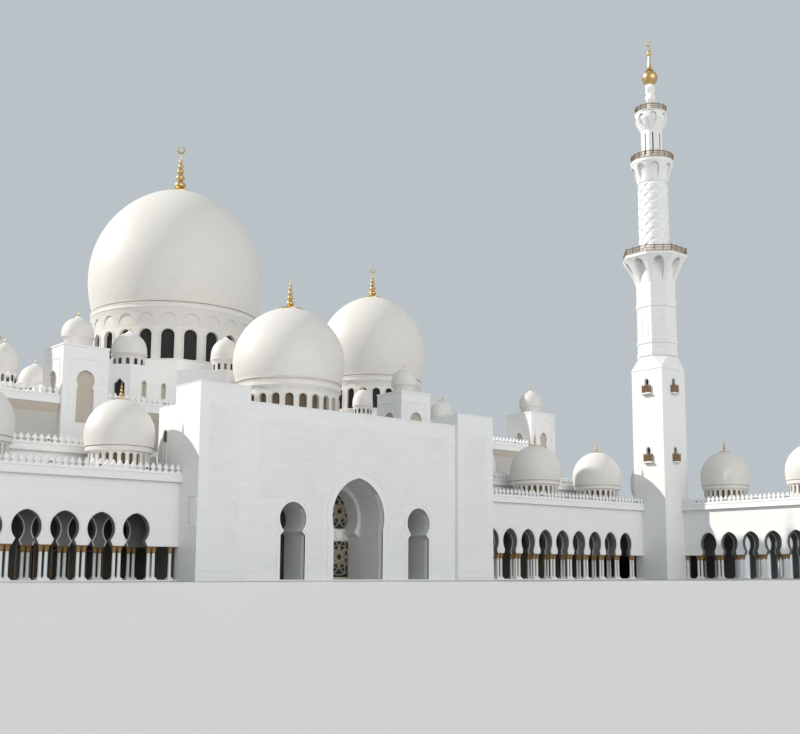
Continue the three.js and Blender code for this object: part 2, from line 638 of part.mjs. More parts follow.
// Aisle: front wall onto the arcade, flat roof, cornice and end wall
function makeAisle(name, sign) {
  const inner = PORTAL_HALF - PYLON_WIDTH;
  const low = sign > 0 ? inner : -HALL_HALF;
  const high = sign > 0 ? HALL_HALF : -inner;
  const rear = HALL_FRONT - GAP;
  const wallBack = AISLE_FRONT + THIN_WALL;
  const soffit = AISLE_TOP - AISLE_ROOF;
  const body = alongX([
    [AISLE_FRONT, FLOOR_TOP], [wallBack, FLOOR_TOP], [wallBack, soffit], [rear, soffit], [rear, AISLE_TOP],
    [AISLE_FRONT + PARAPET, AISLE_TOP], [AISLE_FRONT + PARAPET, AISLE_CORNICE_TOP],
    [AISLE_FRONT - CORNICE_OUT, AISLE_CORNICE_TOP], [AISLE_FRONT - CORNICE_OUT, AISLE_TOP + BITE],
    [AISLE_FRONT, AISLE_TOP + BITE],
  ], low + GAP, high - GAP);
  const endStrip = (thick, y0, y1, z0, z1) => (sign > 0
    ? box(HALL_HALF - thick, HALL_HALF - GAP, y0, y1, z0, z1)
    : box(-HALL_HALF + GAP, -HALL_HALF + thick, y0, y1, z0, z1));
  const end = endStrip(THIN_WALL, AISLE_FRONT + BITE, rear, FLOOR_TOP, AISLE_TOP - BITE);
  const endCornice = endStrip(PARAPET, AISLE_FRONT, TOWER_FRONT - GAP, AISLE_TOP - BITE, AISLE_CORNICE_TOP);
  const first = sign > 0 ? RIGHT_FIRST_PAIR : LEFT_FIRST_PAIR;
  const bay = sign > 0 ? RIGHT_BAY : -LEFT_BAY;
  const bays = sign > 0 ? RIGHT_BAYS - 1 : LEFT_BAYS;
  const doors = [];
  for (let k = 0; k < bays; k += 1) {
    const door = roundHead(first + (k + 0.5) * bay, AISLE_DOOR.half, FLOOR_TOP - BITE, AISLE_DOOR.head);
    doors.push(alongY(door, AISLE_FRONT - BITE, wallBack + BITE));
  }
  addPiece(name, cut(join([body, end, endCornice]), [...doors, ...towerTools()]), 'marble');
}

// Section of an arcade across its length: front wall, middle row and flat roof with its cornice
function arcadeSection() {
  return {
    front: [[0, CAPITAL_TOP + GAP], [THIN_WALL, CAPITAL_TOP + GAP], [THIN_WALL, ARCADE_TOP], [0, ARCADE_TOP]],
    middle: [[MIDDLE_ROW - MIDDLE_HALF, CAPITAL_TOP + GAP], [MIDDLE_ROW + MIDDLE_HALF, CAPITAL_TOP + GAP],
      [MIDDLE_ROW + MIDDLE_HALF, ARCADE_TOP - BITE], [MIDDLE_ROW - MIDDLE_HALF, ARCADE_TOP - BITE]],
    roof: [[THIN_WALL - BITE, ARCADE_TOP - ARCADE_SLAB], [ARCADE_DEPTH - GAP, ARCADE_TOP - ARCADE_SLAB],
      [ARCADE_DEPTH - GAP, ARCADE_TOP], [THIN_WALL - BITE, ARCADE_TOP]],
    cornice: [[-CORNICE_OUT, ARCADE_SOFFIT], [BITE, ARCADE_SOFFIT], [BITE, ARCADE_TOP],
      [-CORNICE_OUT, ARCADE_TOP]],
  };
}

function domeWells(centres) {
  const radius = ARCADE_DRUM_RADIUS - DOME_WALL;
  return centres.map(([x, y]) => cylinder(x, y, radius, ARCADE_TOP - ARCADE_SLAB - BITE, ARCADE_TOP + BITE,
    ARCADE_DOME.sides / 2, 0));
}

function makeLeftArcade() {
  const high = -PORTAL_HALF - GAP;
  const places = pairPlaces(LEFT_FIRST_PAIR, -LEFT_BAY, LEFT_BAYS, [LEFT_SINGLE]);
  const floor = box(LEFT_END, high, 0, AISLE_FRONT - GAP, 0, FLOOR_TOP);
  const rows = [...columnRow(places, OUTER_ROW, 'x', true), ...columnRow(places, MIDDLE_ROW, 'x', false)];
  addPiece('left_arcade_columns', join([floor, ...rows]), 'marble');
  const section = arcadeSection();
  const arches = archTools(LEFT_FIRST_PAIR, -LEFT_BAY, LEFT_BAYS)
    .map((points) => alongY(points, -BITE, MIDDLE_ROW + MIDDLE_HALF + BITE));
  const walls = Object.values(section).map((points) => alongX(points, LEFT_END, high));
  const end = box(LEFT_END, LEFT_END + THIN_WALL, 0, AISLE_FRONT - GAP, FLOOR_TOP + GAP, ARCADE_TOP - BITE);
  const wells = domeWells(LEFT_DOME_X.map((x) => [x, MIDDLE_ROW]));
  addPiece('left_arcade_walls', cut(cut(join(walls), arches).add(end), wells), 'marble');
}

function minaretTool() {
  const reach = MINARET_HALF + GAP;
  return box(MINARET_X - reach, MINARET_X + reach, MINARET_Y - reach, MINARET_Y + reach, -BITE,
    MINARET_SQUARE_TOP + BITE);
}

function makeRightArcade() {
  const low = PORTAL_HALF + GAP;
  const corner = OUTER_FACE - THIN_WALL - GAP;
  const places = pairPlaces(RIGHT_FIRST_PAIR, RIGHT_BAY, RIGHT_BAYS, [RIGHT_SINGLE]);
  const floor = box(low, corner, 0, AISLE_FRONT - GAP, 0, FLOOR_TOP);
  const rows = [...columnRow(places, OUTER_ROW, 'x', true), ...columnRow(places, MIDDLE_ROW, 'x', false)];
  addPiece('right_arcade_columns', cut(join([floor, ...rows]), [minaretTool()]), 'marble');
  const section = arcadeSection();
  const arches = archTools(RIGHT_FIRST_PAIR, RIGHT_BAY, RIGHT_BAYS)
    .map((points) => alongY(points, -BITE, MIDDLE_ROW + MIDDLE_HALF + BITE));
  const walls = Object.entries(section).map(([part, points]) => alongX(points, low,
    part === 'roof' ? corner : RETURN_FACE));
  const step = box(RETURN_FACE - BITE, corner, 0, THIN_WALL + BITE, ARCADE_TOP - ARCADE_SLAB, ARCADE_TOP);
  const wells = domeWells([...RIGHT_DOME_X.map((x) => [x, MIDDLE_ROW]), CORNER_DOME]);
  addPiece('right_arcade_walls', cut(join([...walls, step]), [...arches, ...wells, minaretTool()]), 'marble');
}

function makeReturnArcade() {
  const high = -GAP;
  const places = pairPlaces(RETURN_FIRST_PAIR, -RETURN_BAY, RETURN_BAYS, [RETURN_SINGLE]);
  const floor = box(RETURN_FACE, OUTER_FACE - THIN_WALL - GAP, RETURN_END, high, 0, FLOOR_TOP);
  const rows = [...columnRow(places, RETURN_FACE + OUTER_ROW, 'y', true),
    ...columnRow(places, RETURN_FACE + MIDDLE_ROW, 'y', false)];
  addPiece('return_arcade_columns', cut(join([floor, ...rows]), [minaretTool()]), 'marble');
  const section = arcadeSection();
  const depthLimit = ARCADE_DEPTH - THIN_WALL - GAP;
  const walls = Object.values(section).map((points) => alongY(
    points.map(([depth, z]) => [RETURN_FACE + Math.min(depth, depthLimit), z]), RETURN_END, high));
  const arches = archTools(RETURN_FIRST_PAIR, -RETURN_BAY, RETURN_BAYS)
    .map((points) => alongX(points, RETURN_FACE - BITE, RETURN_FACE + MIDDLE_ROW + MIDDLE_HALF + BITE));
  const end = box(RETURN_FACE, OUTER_FACE - THIN_WALL - GAP, RETURN_END, RETURN_END + THIN_WALL,
    FLOOR_TOP + GAP, ARCADE_TOP - BITE);
  const wells = domeWells(RETURN_DOME_Y.map((y) => [CORNER_DOME[0], y]));
  const closed = cut(join(walls), arches).add(end);
  addPiece('return_arcade_walls', cut(closed, [...wells, minaretTool()]), 'marble');
}

// Outer wall of the corner and the return arcade, with an arch to the open air in each bay
function makeOuterWall() {
  const [near, far] = [OUTER_FACE - THIN_WALL, AISLE_FRONT + THIN_WALL];
  const plan = [
    [HALL_HALF + GAP, AISLE_FRONT], [near, AISLE_FRONT], [near, RETURN_END],
    [OUTER_FACE, RETURN_END], [OUTER_FACE, far], [HALL_HALF + GAP, far],
  ];
  const arches = archTools(RETURN_FIRST_PAIR, -RETURN_BAY, RETURN_BAYS, FLOOR_TOP)
    .map((points) => alongX(points, near - BITE, OUTER_FACE + BITE));
  addPiece('outer_wall', cut(alongZ(plan, 0, ARCADE_TOP), arches), 'marble');
}

// Arcade dome: low ring, drum, ring moulding and bulb in one shell, open below
function arcadeDome(x, y) {
  const dome = ARCADE_DOME;
  const outer = turned([
    [0, ARCADE_TOP + GAP], [ARCADE_DRUM_RADIUS, ARCADE_TOP + GAP], [ARCADE_DRUM_RADIUS, ARCADE_DRUM_TOP],
    [dome.footRadius + DOME_RING_OUT, ARCADE_RING], ...domeProfile(dome, 0, 1, 4),
  ], dome.sides, x, y);
  const inside = domeProfile(dome, DOME_WALL, 1, 2);
  const bore = ARCADE_DRUM_RADIUS - DOME_WALL;
  const inner = turned([
    [0, ARCADE_TOP - BITE], [bore, ARCADE_TOP - BITE], [bore, ARCADE_DRUM_TOP], ...inside,
  ], dome.sides / 2, x, y);
  const seat = seatHeight(dome) - BITE;
  const spike = turned([[0, seat], [dome.cap, seat], [0, dome.tip]], dome.sides / 2, x, y);
  return outer.subtract(inner).add(spike);
}

function makeArcadeDomes() {
  LEFT_DOME_X.forEach((x, i) => addPiece(`left_arcade_dome_${i + 1}`, arcadeDome(x, MIDDLE_ROW), 'dome'));
  RIGHT_DOME_X.forEach((x, i) => addPiece(`right_arcade_dome_${i + 1}`, arcadeDome(x, MIDDLE_ROW), 'dome'));
  addPiece('corner_dome', arcadeDome(...CORNER_DOME), 'dome');
  RETURN_DOME_Y.forEach((y, i) => {
    addPiece(`return_arcade_dome_${i + 1}`, arcadeDome(CORNER_DOME[0], y), 'dome');
  });
}

// Plan of the upper block, mirrored left to right and front to back
function blockPlan(inset) {
  const scale = 1 + inset / BLOCK_FRONT[0][0];
  const near = BLOCK_FRONT.map(([x, y]) => [x * scale, MAIN_DOME.y + (y - MAIN_DOME.y) * scale]);
  const front = [...near, ...near.map(([x, y]) => [-x, y]).reverse()];
  const rear = front.map(([x, y]) => [x, 2 * MAIN_DOME.y - y]).reverse();
  return [...front, ...rear];
}

// A window prism through a wall that stands at any angle in plan
function wallWindow(x, y, turn, half, sill, head) {
  const reach = 2 * WALL;
  const geometry = new THREE.ExtrudeGeometry(outline(roundHead(0, half, sill, head)),
    { depth: 2 * reach, bevelEnabled: false });
  geometry.rotateX(Math.PI / 2);
  geometry.translate(0, reach, 0);
  geometry.rotateZ(turn);
  geometry.translate(x, y, 0);
  return solid(geometry);
}

function makeUpperBlock() {
  const walls = alongZ(blockPlan(0), HALL_ROOF_TOP + GAP, BLOCK_TOP);
  const hollow = alongZ(blockPlan(WALL), HALL_ROOF_TOP - BITE, BLOCK_TOP - BLOCK_ROOF);
  const well = wellTool(MAIN_DOME, MAIN_DRUM, BLOCK_TOP - BLOCK_ROOF - BITE, BLOCK_TOP + BITE);
  const windows = [];
  const domes = [];
  for (const [sx, sy] of [[-1, -1], [1, -1], [-1, 1], [1, 1]]) {
    const fromRear = (y) => MAIN_DOME.y + sy * (MAIN_DOME.y - y);
    for (const { x, y, turn, half, head } of BLOCK_WINDOWS) {
      windows.push(wallWindow(sx * x, fromRear(y), -sx * sy * turn, half, BLOCK_SILL, head));
    }
    for (const { x, y, radius } of BLOCK_CUPOLAS) {
      domes.push(cupola(sx * x, fromRear(y), radius, BLOCK_TOP - BITE, BLOCK_CUPOLA_APEX));
    }
  }
  addPiece('upper_block', join([cut(walls, [hollow, well, ...windows]), ...domes]), 'marble');
}

// Square plan with cut corners
function chamferedSquare(x, y, half, chamfer) {
  const near = half - chamfer;
  return [[-half, -near], [-near, -half], [near, -half], [half, -near], [half, near], [near, half],
    [-near, half], [-half, near]].map(([a, b]) => [x + a, y + b]);
}

function makeMainDome() {
  const { x, y } = MAIN_DOME;
  const plinth = alongZ(chamferedSquare(x, y, PLINTH_HALF, PLINTH_CHAMFER), BLOCK_TOP + GAP, MAIN_DRUM.bottom)
    .subtract(wellTool(MAIN_DOME, MAIN_DRUM, BLOCK_TOP, MAIN_DRUM.bottom + BITE));
  const drum = drumWall({ ...MAIN_DRUM, bottom: MAIN_DRUM.bottom - BITE }, MAIN_DOME, x, y);
  addPiece('main_drum', plinth.add(drum), 'marble');
  addPiece('main_dome', domeShell(MAIN_DOME, x, y), 'dome');
  addPiece('main_finial', crescentFinial(MAIN_DOME, MAIN_FINIAL, x, y), 'gold');
}

function makePortalDome() {
  const { x, y } = PORTAL_DOME;
  const drum = drumWall({ ...PORTAL_DRUM, bottom: PORTAL_DRUM.bottom + GAP }, PORTAL_DOME, x, y);
  addPiece('portal_drum', drum, 'marble');
  addPiece('portal_dome', domeShell(PORTAL_DOME, x, y), 'dome');
  addPiece('portal_finial', domeFinial(PORTAL_DOME, PORTAL_FINIAL_TOP, x, y), 'gold');
}

function makeSideDome(side, sign) {
  const x = sign * SIDE_DOME.x;
  const { y } = SIDE_DOME;
  const block = box(x - SIDE_BLOCK_HALF, x + SIDE_BLOCK_HALF, y - SIDE_BLOCK_HALF, y + SIDE_BLOCK_HALF,
    HALL_ROOF_TOP + GAP, SIDE_BLOCK_TOP);
  const room = SIDE_BLOCK_HALF - WALL;
  const soffit = SIDE_BLOCK_TOP - BLOCK_ROOF;
  const hollow = box(x - room, x + room, y - room, y + room, HALL_ROOF_TOP - BITE, soffit);
  const plinth = alongZ(chamferedSquare(x, y, SIDE_PLINTH_HALF, SIDE_PLINTH_CHAMFER), SIDE_BLOCK_TOP - BITE,
    SIDE_DRUM.bottom);
  const well = wellTool({ x, y }, SIDE_DRUM, soffit - BITE, SIDE_DRUM.bottom + BITE);
  const drum = drumWall({ ...SIDE_DRUM, bottom: SIDE_DRUM.bottom - BITE }, SIDE_DOME, x, y);
  const domes = [];
  for (const dx of [-SIDE_CUPOLA.out, SIDE_CUPOLA.out]) {
    for (const dy of [-SIDE_CUPOLA.out, SIDE_CUPOLA.out]) {
      domes.push(cupola(x + dx, y + dy, SIDE_CUPOLA.radius, SIDE_BLOCK_TOP - BITE, SIDE_CUPOLA.apex));
    }
  }
  const carried = join([block.subtract(hollow), plinth]).subtract(well);
  addPiece(`${side}_drum`, join([carried, drum, ...domes]), 'marble');
  addPiece(`${side}_dome`, domeShell(SIDE_DOME, x, y), 'dome');
  addPiece(`${side}_finial`, crescentFinial(SIDE_DOME, SIDE_FINIAL, x, y), 'gold');
}

function makeTowers() {
  for (const t of towerFootprints(0)) {
    const top = TOWER_TOPS[t.kind];
    const cx = (t.x0 + t.x1) / 2;
    const cy = (t.y0 + t.y1) / 2;
    const shell = box(t.x0, t.x1, t.y0, t.y1, AISLE_TOP + GAP, top)
      .subtract(box(t.x0 + TOWER_WALL, t.x1 - TOWER_WALL, t.y0 + TOWER_WALL, t.y1 - TOWER_WALL,
        AISLE_TOP - BITE, top - TOWER_WALL));
    const niche = (centre) => keyhole(TOWER_NICHE, centre, NICHE_SILL);
    const niches = [
      alongY(niche(cx), t.y0 - BITE, t.y0 + NICHE_DEPTH),
      alongY(niche(cx), t.y1 - NICHE_DEPTH, t.y1 + BITE),
      alongX(niche(cy), t.x0 - BITE, t.x0 + NICHE_DEPTH),
      alongX(niche(cy), t.x1 - NICHE_DEPTH, t.x1 + BITE),
    ];
    const dome = cupola(cx, cy, TOWER_CUPOLA.radius, top - BITE, top + TOWER_CUPOLA.rise);
    addPiece(t.name, cut(shell, niches).add(dome), 'marble');
  }
}

function octagonRadius(flat) {
  return flat / Math.cos(Math.PI / 8);
}

function makeMinaretBase() {
  const half = MINARET_HALF;
  const hollow = half - MINARET_WALL;
  const [x, y] = [MINARET_X, MINARET_Y];
  const squarePrism = (reach, z0, z1) => box(x - reach, x + reach, y - reach, y + reach, z0, z1);
  const shell = squarePrism(half, 0, MINARET_SQUARE_TOP)
    .subtract(squarePrism(hollow, FLOOR_TOP, MINARET_SQUARE_TOP + BITE));
  const slabs = [];
  const doors = [];
  const reach = half + BALCONY.out;
  for (const level of BALCONY_LEVELS) {
    const [low, head] = [level - BALCONY.slab, level + BALCONY_DOOR.height];
    slabs.push(box(x - BALCONY.half, x + BALCONY.half, y - reach, y + reach, low, level));
    slabs.push(box(x - reach, x + reach, y - BALCONY.half, y + BALCONY.half, low, level));
    doors.push(alongY(roundHead(x, BALCONY_DOOR.half, level, head), y - half - BITE, y + half + BITE));
    doors.push(alongX(roundHead(y, BALCONY_DOOR.half, level, head), x - half - BITE, x + half + BITE));
  }
  const core = squarePrism(hollow + BITE, FLOOR_TOP, MINARET_SQUARE_TOP + BITE);
  addPiece('minaret_base', cut(shell.add(join(slabs).subtract(core)), doors), 'marble');
}

// Square foot with sloping corners, octagon with three bands, and the flare under the first gallery
function makeMinaretOctagon() {
  const [x, y] = [MINARET_X, MINARET_Y];
  const flat = octagonRadius(MINARET_HALF);
  const inside = octagonRadius(MINARET_HALF - MINARET_WALL);
  const gallery = octagonRadius(GALLERY_ONE_HALF);
  const height = OCTAGON_BOTTOM - MINARET_SQUARE_TOP;
  const square = box(x - MINARET_HALF, x + MINARET_HALF, y - MINARET_HALF, y + MINARET_HALF,
    MINARET_SQUARE_TOP + GAP, OCTAGON_BOTTOM + BITE);
  const slopes = new THREE.CylinderGeometry(MINARET_HALF * Math.SQRT2, MINARET_HALF * 2, height, 4);
  slopes.rotateX(Math.PI / 2);
  slopes.translate(x, y, MINARET_SQUARE_TOP + height / 2);
  const bore = cylinder(x, y, MINARET_HALF - MINARET_WALL, MINARET_SQUARE_TOP - BITE,
    OCTAGON_BOTTOM + 2 * BITE, 8, Math.PI / 8);
  const bands = BANDS.flatMap(([low, high]) => [[flat, low - BITE], [flat + BAND, low], [flat + BAND, high],
    [flat, high + BITE]]);
  const octagon = turned([
    [inside, OCTAGON_BOTTOM - BITE], ...bands, ...OCTAGON_FLARE.map(([out, z]) => [flat + out, z]),
    [gallery, GALLERY_ONE - GALLERY_SLAB], [gallery, GALLERY_ONE], [inside, GALLERY_ONE],
    [inside, OCTAGON_BOTTOM - BITE],
  ], 8, x, y, Math.PI / 8);
  addPiece('minaret_octagon', square.intersect(solid(slopes)).subtract(bore).add(octagon), 'marble');
}

function makeMinaretUpperShafts() {
  const [x, y] = [MINARET_X, MINARET_Y];
  const low = GALLERY_ONE + GAP;
  const shaft = turned([
    [SHAFT_BORE, low], [SHAFT_FLARE[0][0], low], ...SHAFT_FLARE, [SHAFT_BORE, GALLERY_TWO], [SHAFT_BORE, low],
  ], 16, x, y);
  addPiece('minaret_round_shaft', shaft, 'marble');
  const lantern = turned([
    [0, GALLERY_TWO + GAP], [LANTERN_FLARE[0][0], GALLERY_TWO + GAP], ...LANTERN_FLARE, ...STEM,
    [0, STEM_TOP],
  ], 8, x, y, Math.PI / 8);
  addPiece('minaret_lantern', lantern, 'marble');
}

function makeMinaretFinial() {
  const [x, y] = [MINARET_X, MINARET_Y];
  const { centre, radius } = BALL;
  const [shoulder, drop] = [radius * 0.8, radius * 0.6];
  const spindle = turned([
    [0, STEM_TOP + GAP], [60, STEM_TOP + GAP], [shoulder, centre - drop], [radius, centre],
    [shoulder, centre + drop], ...SPINDLE, [0, MINARET_FINIAL.top],
  ], 10, x, y);
  const moon = crescent(x, y, MINARET_FINIAL.top - 2 * MINARET_FINIAL.thick, MINARET_FINIAL.crescent,
    MINARET_FINIAL.thick);
  addPiece('minaret_finial', spindle.add(moon), 'gold');
}

makeFloor();
makePortal();
makePortalHall();
makeHall();
makeHallRoof();
makeAisle('left_aisle', -1);
makeAisle('right_aisle', 1);
makeLeftArcade();
makeRightArcade();
makeReturnArcade();
makeOuterWall();
makeArcadeDomes();
makeUpperBlock();
makeMainDome();
makePortalDome();
makeSideDome('left', -1);
makeSideDome('right', 1);
makeTowers();
makeMinaretBase();
makeMinaretOctagon();
makeMinaretUpperShafts();
makeMinaretFinial();

export default group;
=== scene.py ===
import math

import bmesh
import bpy
import numpy as np
from bpy.props import FloatProperty, FloatVectorProperty, IntProperty, PointerProperty
from bpy.types import Operator, Panel, PropertyGroup
from mathutils import Euler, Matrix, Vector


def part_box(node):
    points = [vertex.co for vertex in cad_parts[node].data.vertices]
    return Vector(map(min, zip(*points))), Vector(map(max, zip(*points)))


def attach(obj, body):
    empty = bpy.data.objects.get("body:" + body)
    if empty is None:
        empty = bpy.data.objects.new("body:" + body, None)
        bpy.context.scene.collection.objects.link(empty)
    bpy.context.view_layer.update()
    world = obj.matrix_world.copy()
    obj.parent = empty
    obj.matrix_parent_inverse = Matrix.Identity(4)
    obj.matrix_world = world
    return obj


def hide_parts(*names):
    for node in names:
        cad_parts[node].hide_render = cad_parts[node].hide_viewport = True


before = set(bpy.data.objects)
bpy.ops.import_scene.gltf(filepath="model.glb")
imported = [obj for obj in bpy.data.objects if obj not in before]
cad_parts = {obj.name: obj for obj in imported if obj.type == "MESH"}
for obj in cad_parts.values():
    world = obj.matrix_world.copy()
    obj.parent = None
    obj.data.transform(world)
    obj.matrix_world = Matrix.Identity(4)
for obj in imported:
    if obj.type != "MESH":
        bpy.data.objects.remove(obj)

bl_info = {
    "name": "Mosque Building",
    "version": (1, 0, 0),
    "blender": (4, 5, 0),
    "location": "3D View > Sidebar > Mosque",
    "description": "Marble, domes, arcades and minaret of a mosque model at 1:10",
    "category": "Add Mesh",
}

# Metres of the model: 0.1 m stands for one metre of the building
QUARTER = math.pi / 2
FLOOR_TOP = 0.0205

# Arcades: end of the left run; face, outer face and end of the return run
LEFT_END = -6.09
RETURN_FACE, RETURN_OUTER, RETURN_END = 7.711, 8.911, -3.757

# Runs of arcade: where the run starts, its turn, the first pair, the bay, the bays and the single column
START = (0.0, 0.0, 0.0, 0.0)
RUNS = {
    "left": {"origin": START, "first": -3.059, "bay": -0.4776, "bays": 6, "single": -2.785},
    "right": {"origin": START, "first": 2.8965, "bay": 0.4395, "bays": 9, "single": 7.125},
    "return": {"origin": (RETURN_FACE, 0.0, 0.0, -QUARTER), "first": 0.863, "bay": 0.4551, "bays": 6,
               "single": 0.585},
}
ROW_DEPTHS = (0.044, 0.6)
WALL_DEPTHS = ((0.0, 0.09), (0.555, 0.645))
CAPITAL_TOP = 0.451
ARCADE_CEILING = 1.34

# Column: radius and height of a base with two rolls, a slender shaft, a ring and a capital like palm leaves
COLUMN = np.array([
    (0.0, 0.044), (0.031, 0.044), (0.033, 0.050), (0.030, 0.056), (0.0235, 0.060), (0.0225, 0.070),
    (0.0205, 0.358), (0.024, 0.362), (0.024, 0.369), (0.0215, 0.373), (0.025, 0.39), (0.031, 0.408),
    (0.032, 0.415), (0.026, 0.419), (0.032, 0.431), (0.036, 0.441), (0.0, 0.441),
])
PAIR_HALF = 0.0365

# Blocks under and over a pair of columns: overhang, half depth, foot, top and finish
COLUMN_BLOCKS = ((0.004, 0.04, 0.0195, 0.034, 0), (0.0, 0.036, 0.0335, 0.0445, 0),
                 (0.0, 0.037, 0.4405, 0.4512, 2))

# Keyhole arches: half width of the jambs, impost, neck, its height, widest half width, its height, apex
CENTRE_ARCH = (0.46, 0.74, 0.46, 0.74, 0.485, 0.92, 1.5)
INNER_ARCH = (0.46, 0.65, 0.365, 0.72, 0.43, 0.94, 1.39)
SIDE_ARCH = (0.211, 0.63, 0.155, 0.69, 0.225, 0.865, 1.1)
TOWER_NICHE = (0.135, 2.745, 0.112, 2.79, 0.14, 2.89, 3.04)
OUTER_NICHE = (0.098, 2.68, 0.082, 2.72, 0.102, 2.82, 2.955)

# Portal: distance of the side arches from the middle, front faces, inner and outer side of the pylons
SIDE_ARCH_X = 1.1516
PORTAL_FRONT = -0.407
PYLON_FRONT = -0.468
PYLON_SIDES = (1.917, 2.693)

# Hall: half length, front and rear face; roofs of the hall, the upper block and the side blocks
HALL_SIDE, HALL_FRONT, HALL_REAR = 6.93, 2.1, 8.4
HALL_ROOF, BLOCK_ROOF, SIDE_ROOF = 2.52, 3.42, 3.25
AISLE_FRONT = 1.2

# Domes: centre, widest radius and its height, foot and its radius, apex, radius of the finial's seat
CENTRE_Y = 5.27
SIDE_X = 4.71
DOMES = {
    "main": (0, CENTRE_Y, 1.6, 5.52, 4.85, 1.5, 7.345, 0.19),
    "portal": (0, 1.47, 0.896, 3.44, 3.11, 0.835, 4.37, 0.12),
    "left": (-SIDE_X, CENTRE_Y, 1.142, 4.79, 4.19, 1.04, 6.06, 0.13),
    "right": (SIDE_X, CENTRE_Y, 1.142, 4.79, 4.19, 1.04, 6.06, 0.13),
}
ARCADE_DOME = (0.465, 1.945, 1.775, 0.447, 2.435, 0.045)

# Drums: radius, foot, sill and head of the windows, half width of a window, thickness
DRUMS = {
    "main": (1.49, 3.72, 3.79, 4.36, 0.128, 0.09),
    "portal": (0.81, 2.4403, 2.56, 2.87, 0.072, 0.09),
    "left": (1.03, 3.4, 3.47, 3.91, 0.086, 0.09),
    "right": (1.03, 3.4, 3.47, 3.91, 0.086, 0.09),
}
ARCADE_DRUM = (0.4, 1.4153, 1.52, 1.673, 0.028, 0.06)
WINDOWS_PER_DRUM = 24
DRUM_PHASE = math.pi / 15

# Edge radius of the gilded cap on each large dome
GILT_CAPS = {"main": 0.215, "portal": 0.2, "left": 0.17, "right": 0.17}

# Top of each corner tower
TOWERS = {"inner_tower_left": 3.4, "inner_tower_right": 3.4, "outer_tower_left": 3.35,
          "outer_tower_right": 3.35}

# Minaret: centre, half width and heights
MINARET = (7.515, -0.188)
MINARET_HALF = 0.362
BALCONY_LEVELS = (2.23, 3.56)
GALLERIES = {"first": 6.3, "second": 8.275, "third": 9.305}

# Camera: focal length and middle in pixels of a picture of this size, place, and turns in degrees
FOCAL_PIXELS = 1127.374
MIDDLE_PIXEL = (444.976, 409.761)
PHOTO_SIZE = (800, 734)
EYE = (-10.1437, -13.5, 0.0734)
PITCH, YAW = 8.3745, 42.1287
SENSOR = 36.0


class MosqueSizes(PropertyGroup):
    """Sizes of the fine work, in metres of the model"""

    course: FloatProperty(name="Course", description="Height of a course of cladding", default=0.06,
                          unit="LENGTH")
    stone: FloatProperty(name="Stone", description="Length of a cladding stone", default=0.3, unit="LENGTH")
    joint: FloatProperty(name="Joint", description="Width of a joint", default=0.0016, unit="LENGTH")
    merlon_pitch: FloatProperty(name="Merlon pitch", description="Distance between merlons", default=0.092,
                                unit="LENGTH")
    merlon: FloatProperty(name="Merlon", description="Height of a merlon", default=0.118, unit="LENGTH")
    dome_sides: IntProperty(name="Dome sides", description="Faces round a large dome", default=144)


class MosqueColours(PropertyGroup):
    """Colours of the finishes"""

    marble: FloatVectorProperty(name="Marble", description="Wall cladding", subtype="COLOR",
                                default=(0.86, 0.855, 0.85))
    # Painted shade: a dark tone that stands in for the shade inside the arcades
    arcade_painted_shade: FloatVectorProperty(name="Inner stone", description="Stone inside the arcades",
                                     subtype="COLOR", default=(0.10, 0.096, 0.09))
    # Warm tone in niches, also used as painted shade under the hall's cornice
    niche: FloatVectorProperty(name="Niche stone", description="Warm stone in niches", subtype="COLOR",
                               default=(0.52, 0.46, 0.39))
    dome: FloatVectorProperty(name="Dome marble", description="Dome cladding", subtype="COLOR",
                              default=(0.745, 0.715, 0.68))
    gold: FloatVectorProperty(name="Gilding", description="Finials and caps", subtype="COLOR",
                              default=(0.70, 0.49, 0.23))
    glass: FloatVectorProperty(name="Glass", description="Dark glass behind lattices", subtype="COLOR",
                               default=(0.012, 0.013, 0.015))
    lattice: FloatVectorProperty(name="Lattice", description="Lattice in the drum windows", subtype="COLOR",
                                 default=(0.07, 0.067, 0.062))
    sky: FloatVectorProperty(name="Sky", description="Soft light from all round", subtype="COLOR",
                             default=(0.49, 0.54, 0.57))
    floor: FloatVectorProperty(name="Floor", description="Stage floor", subtype="COLOR",
                               default=(0.525, 0.525, 0.52))


def sizes():
    return bpy.context.scene.mosque_sizes


def colours():
    return bpy.context.scene.mosque_colours


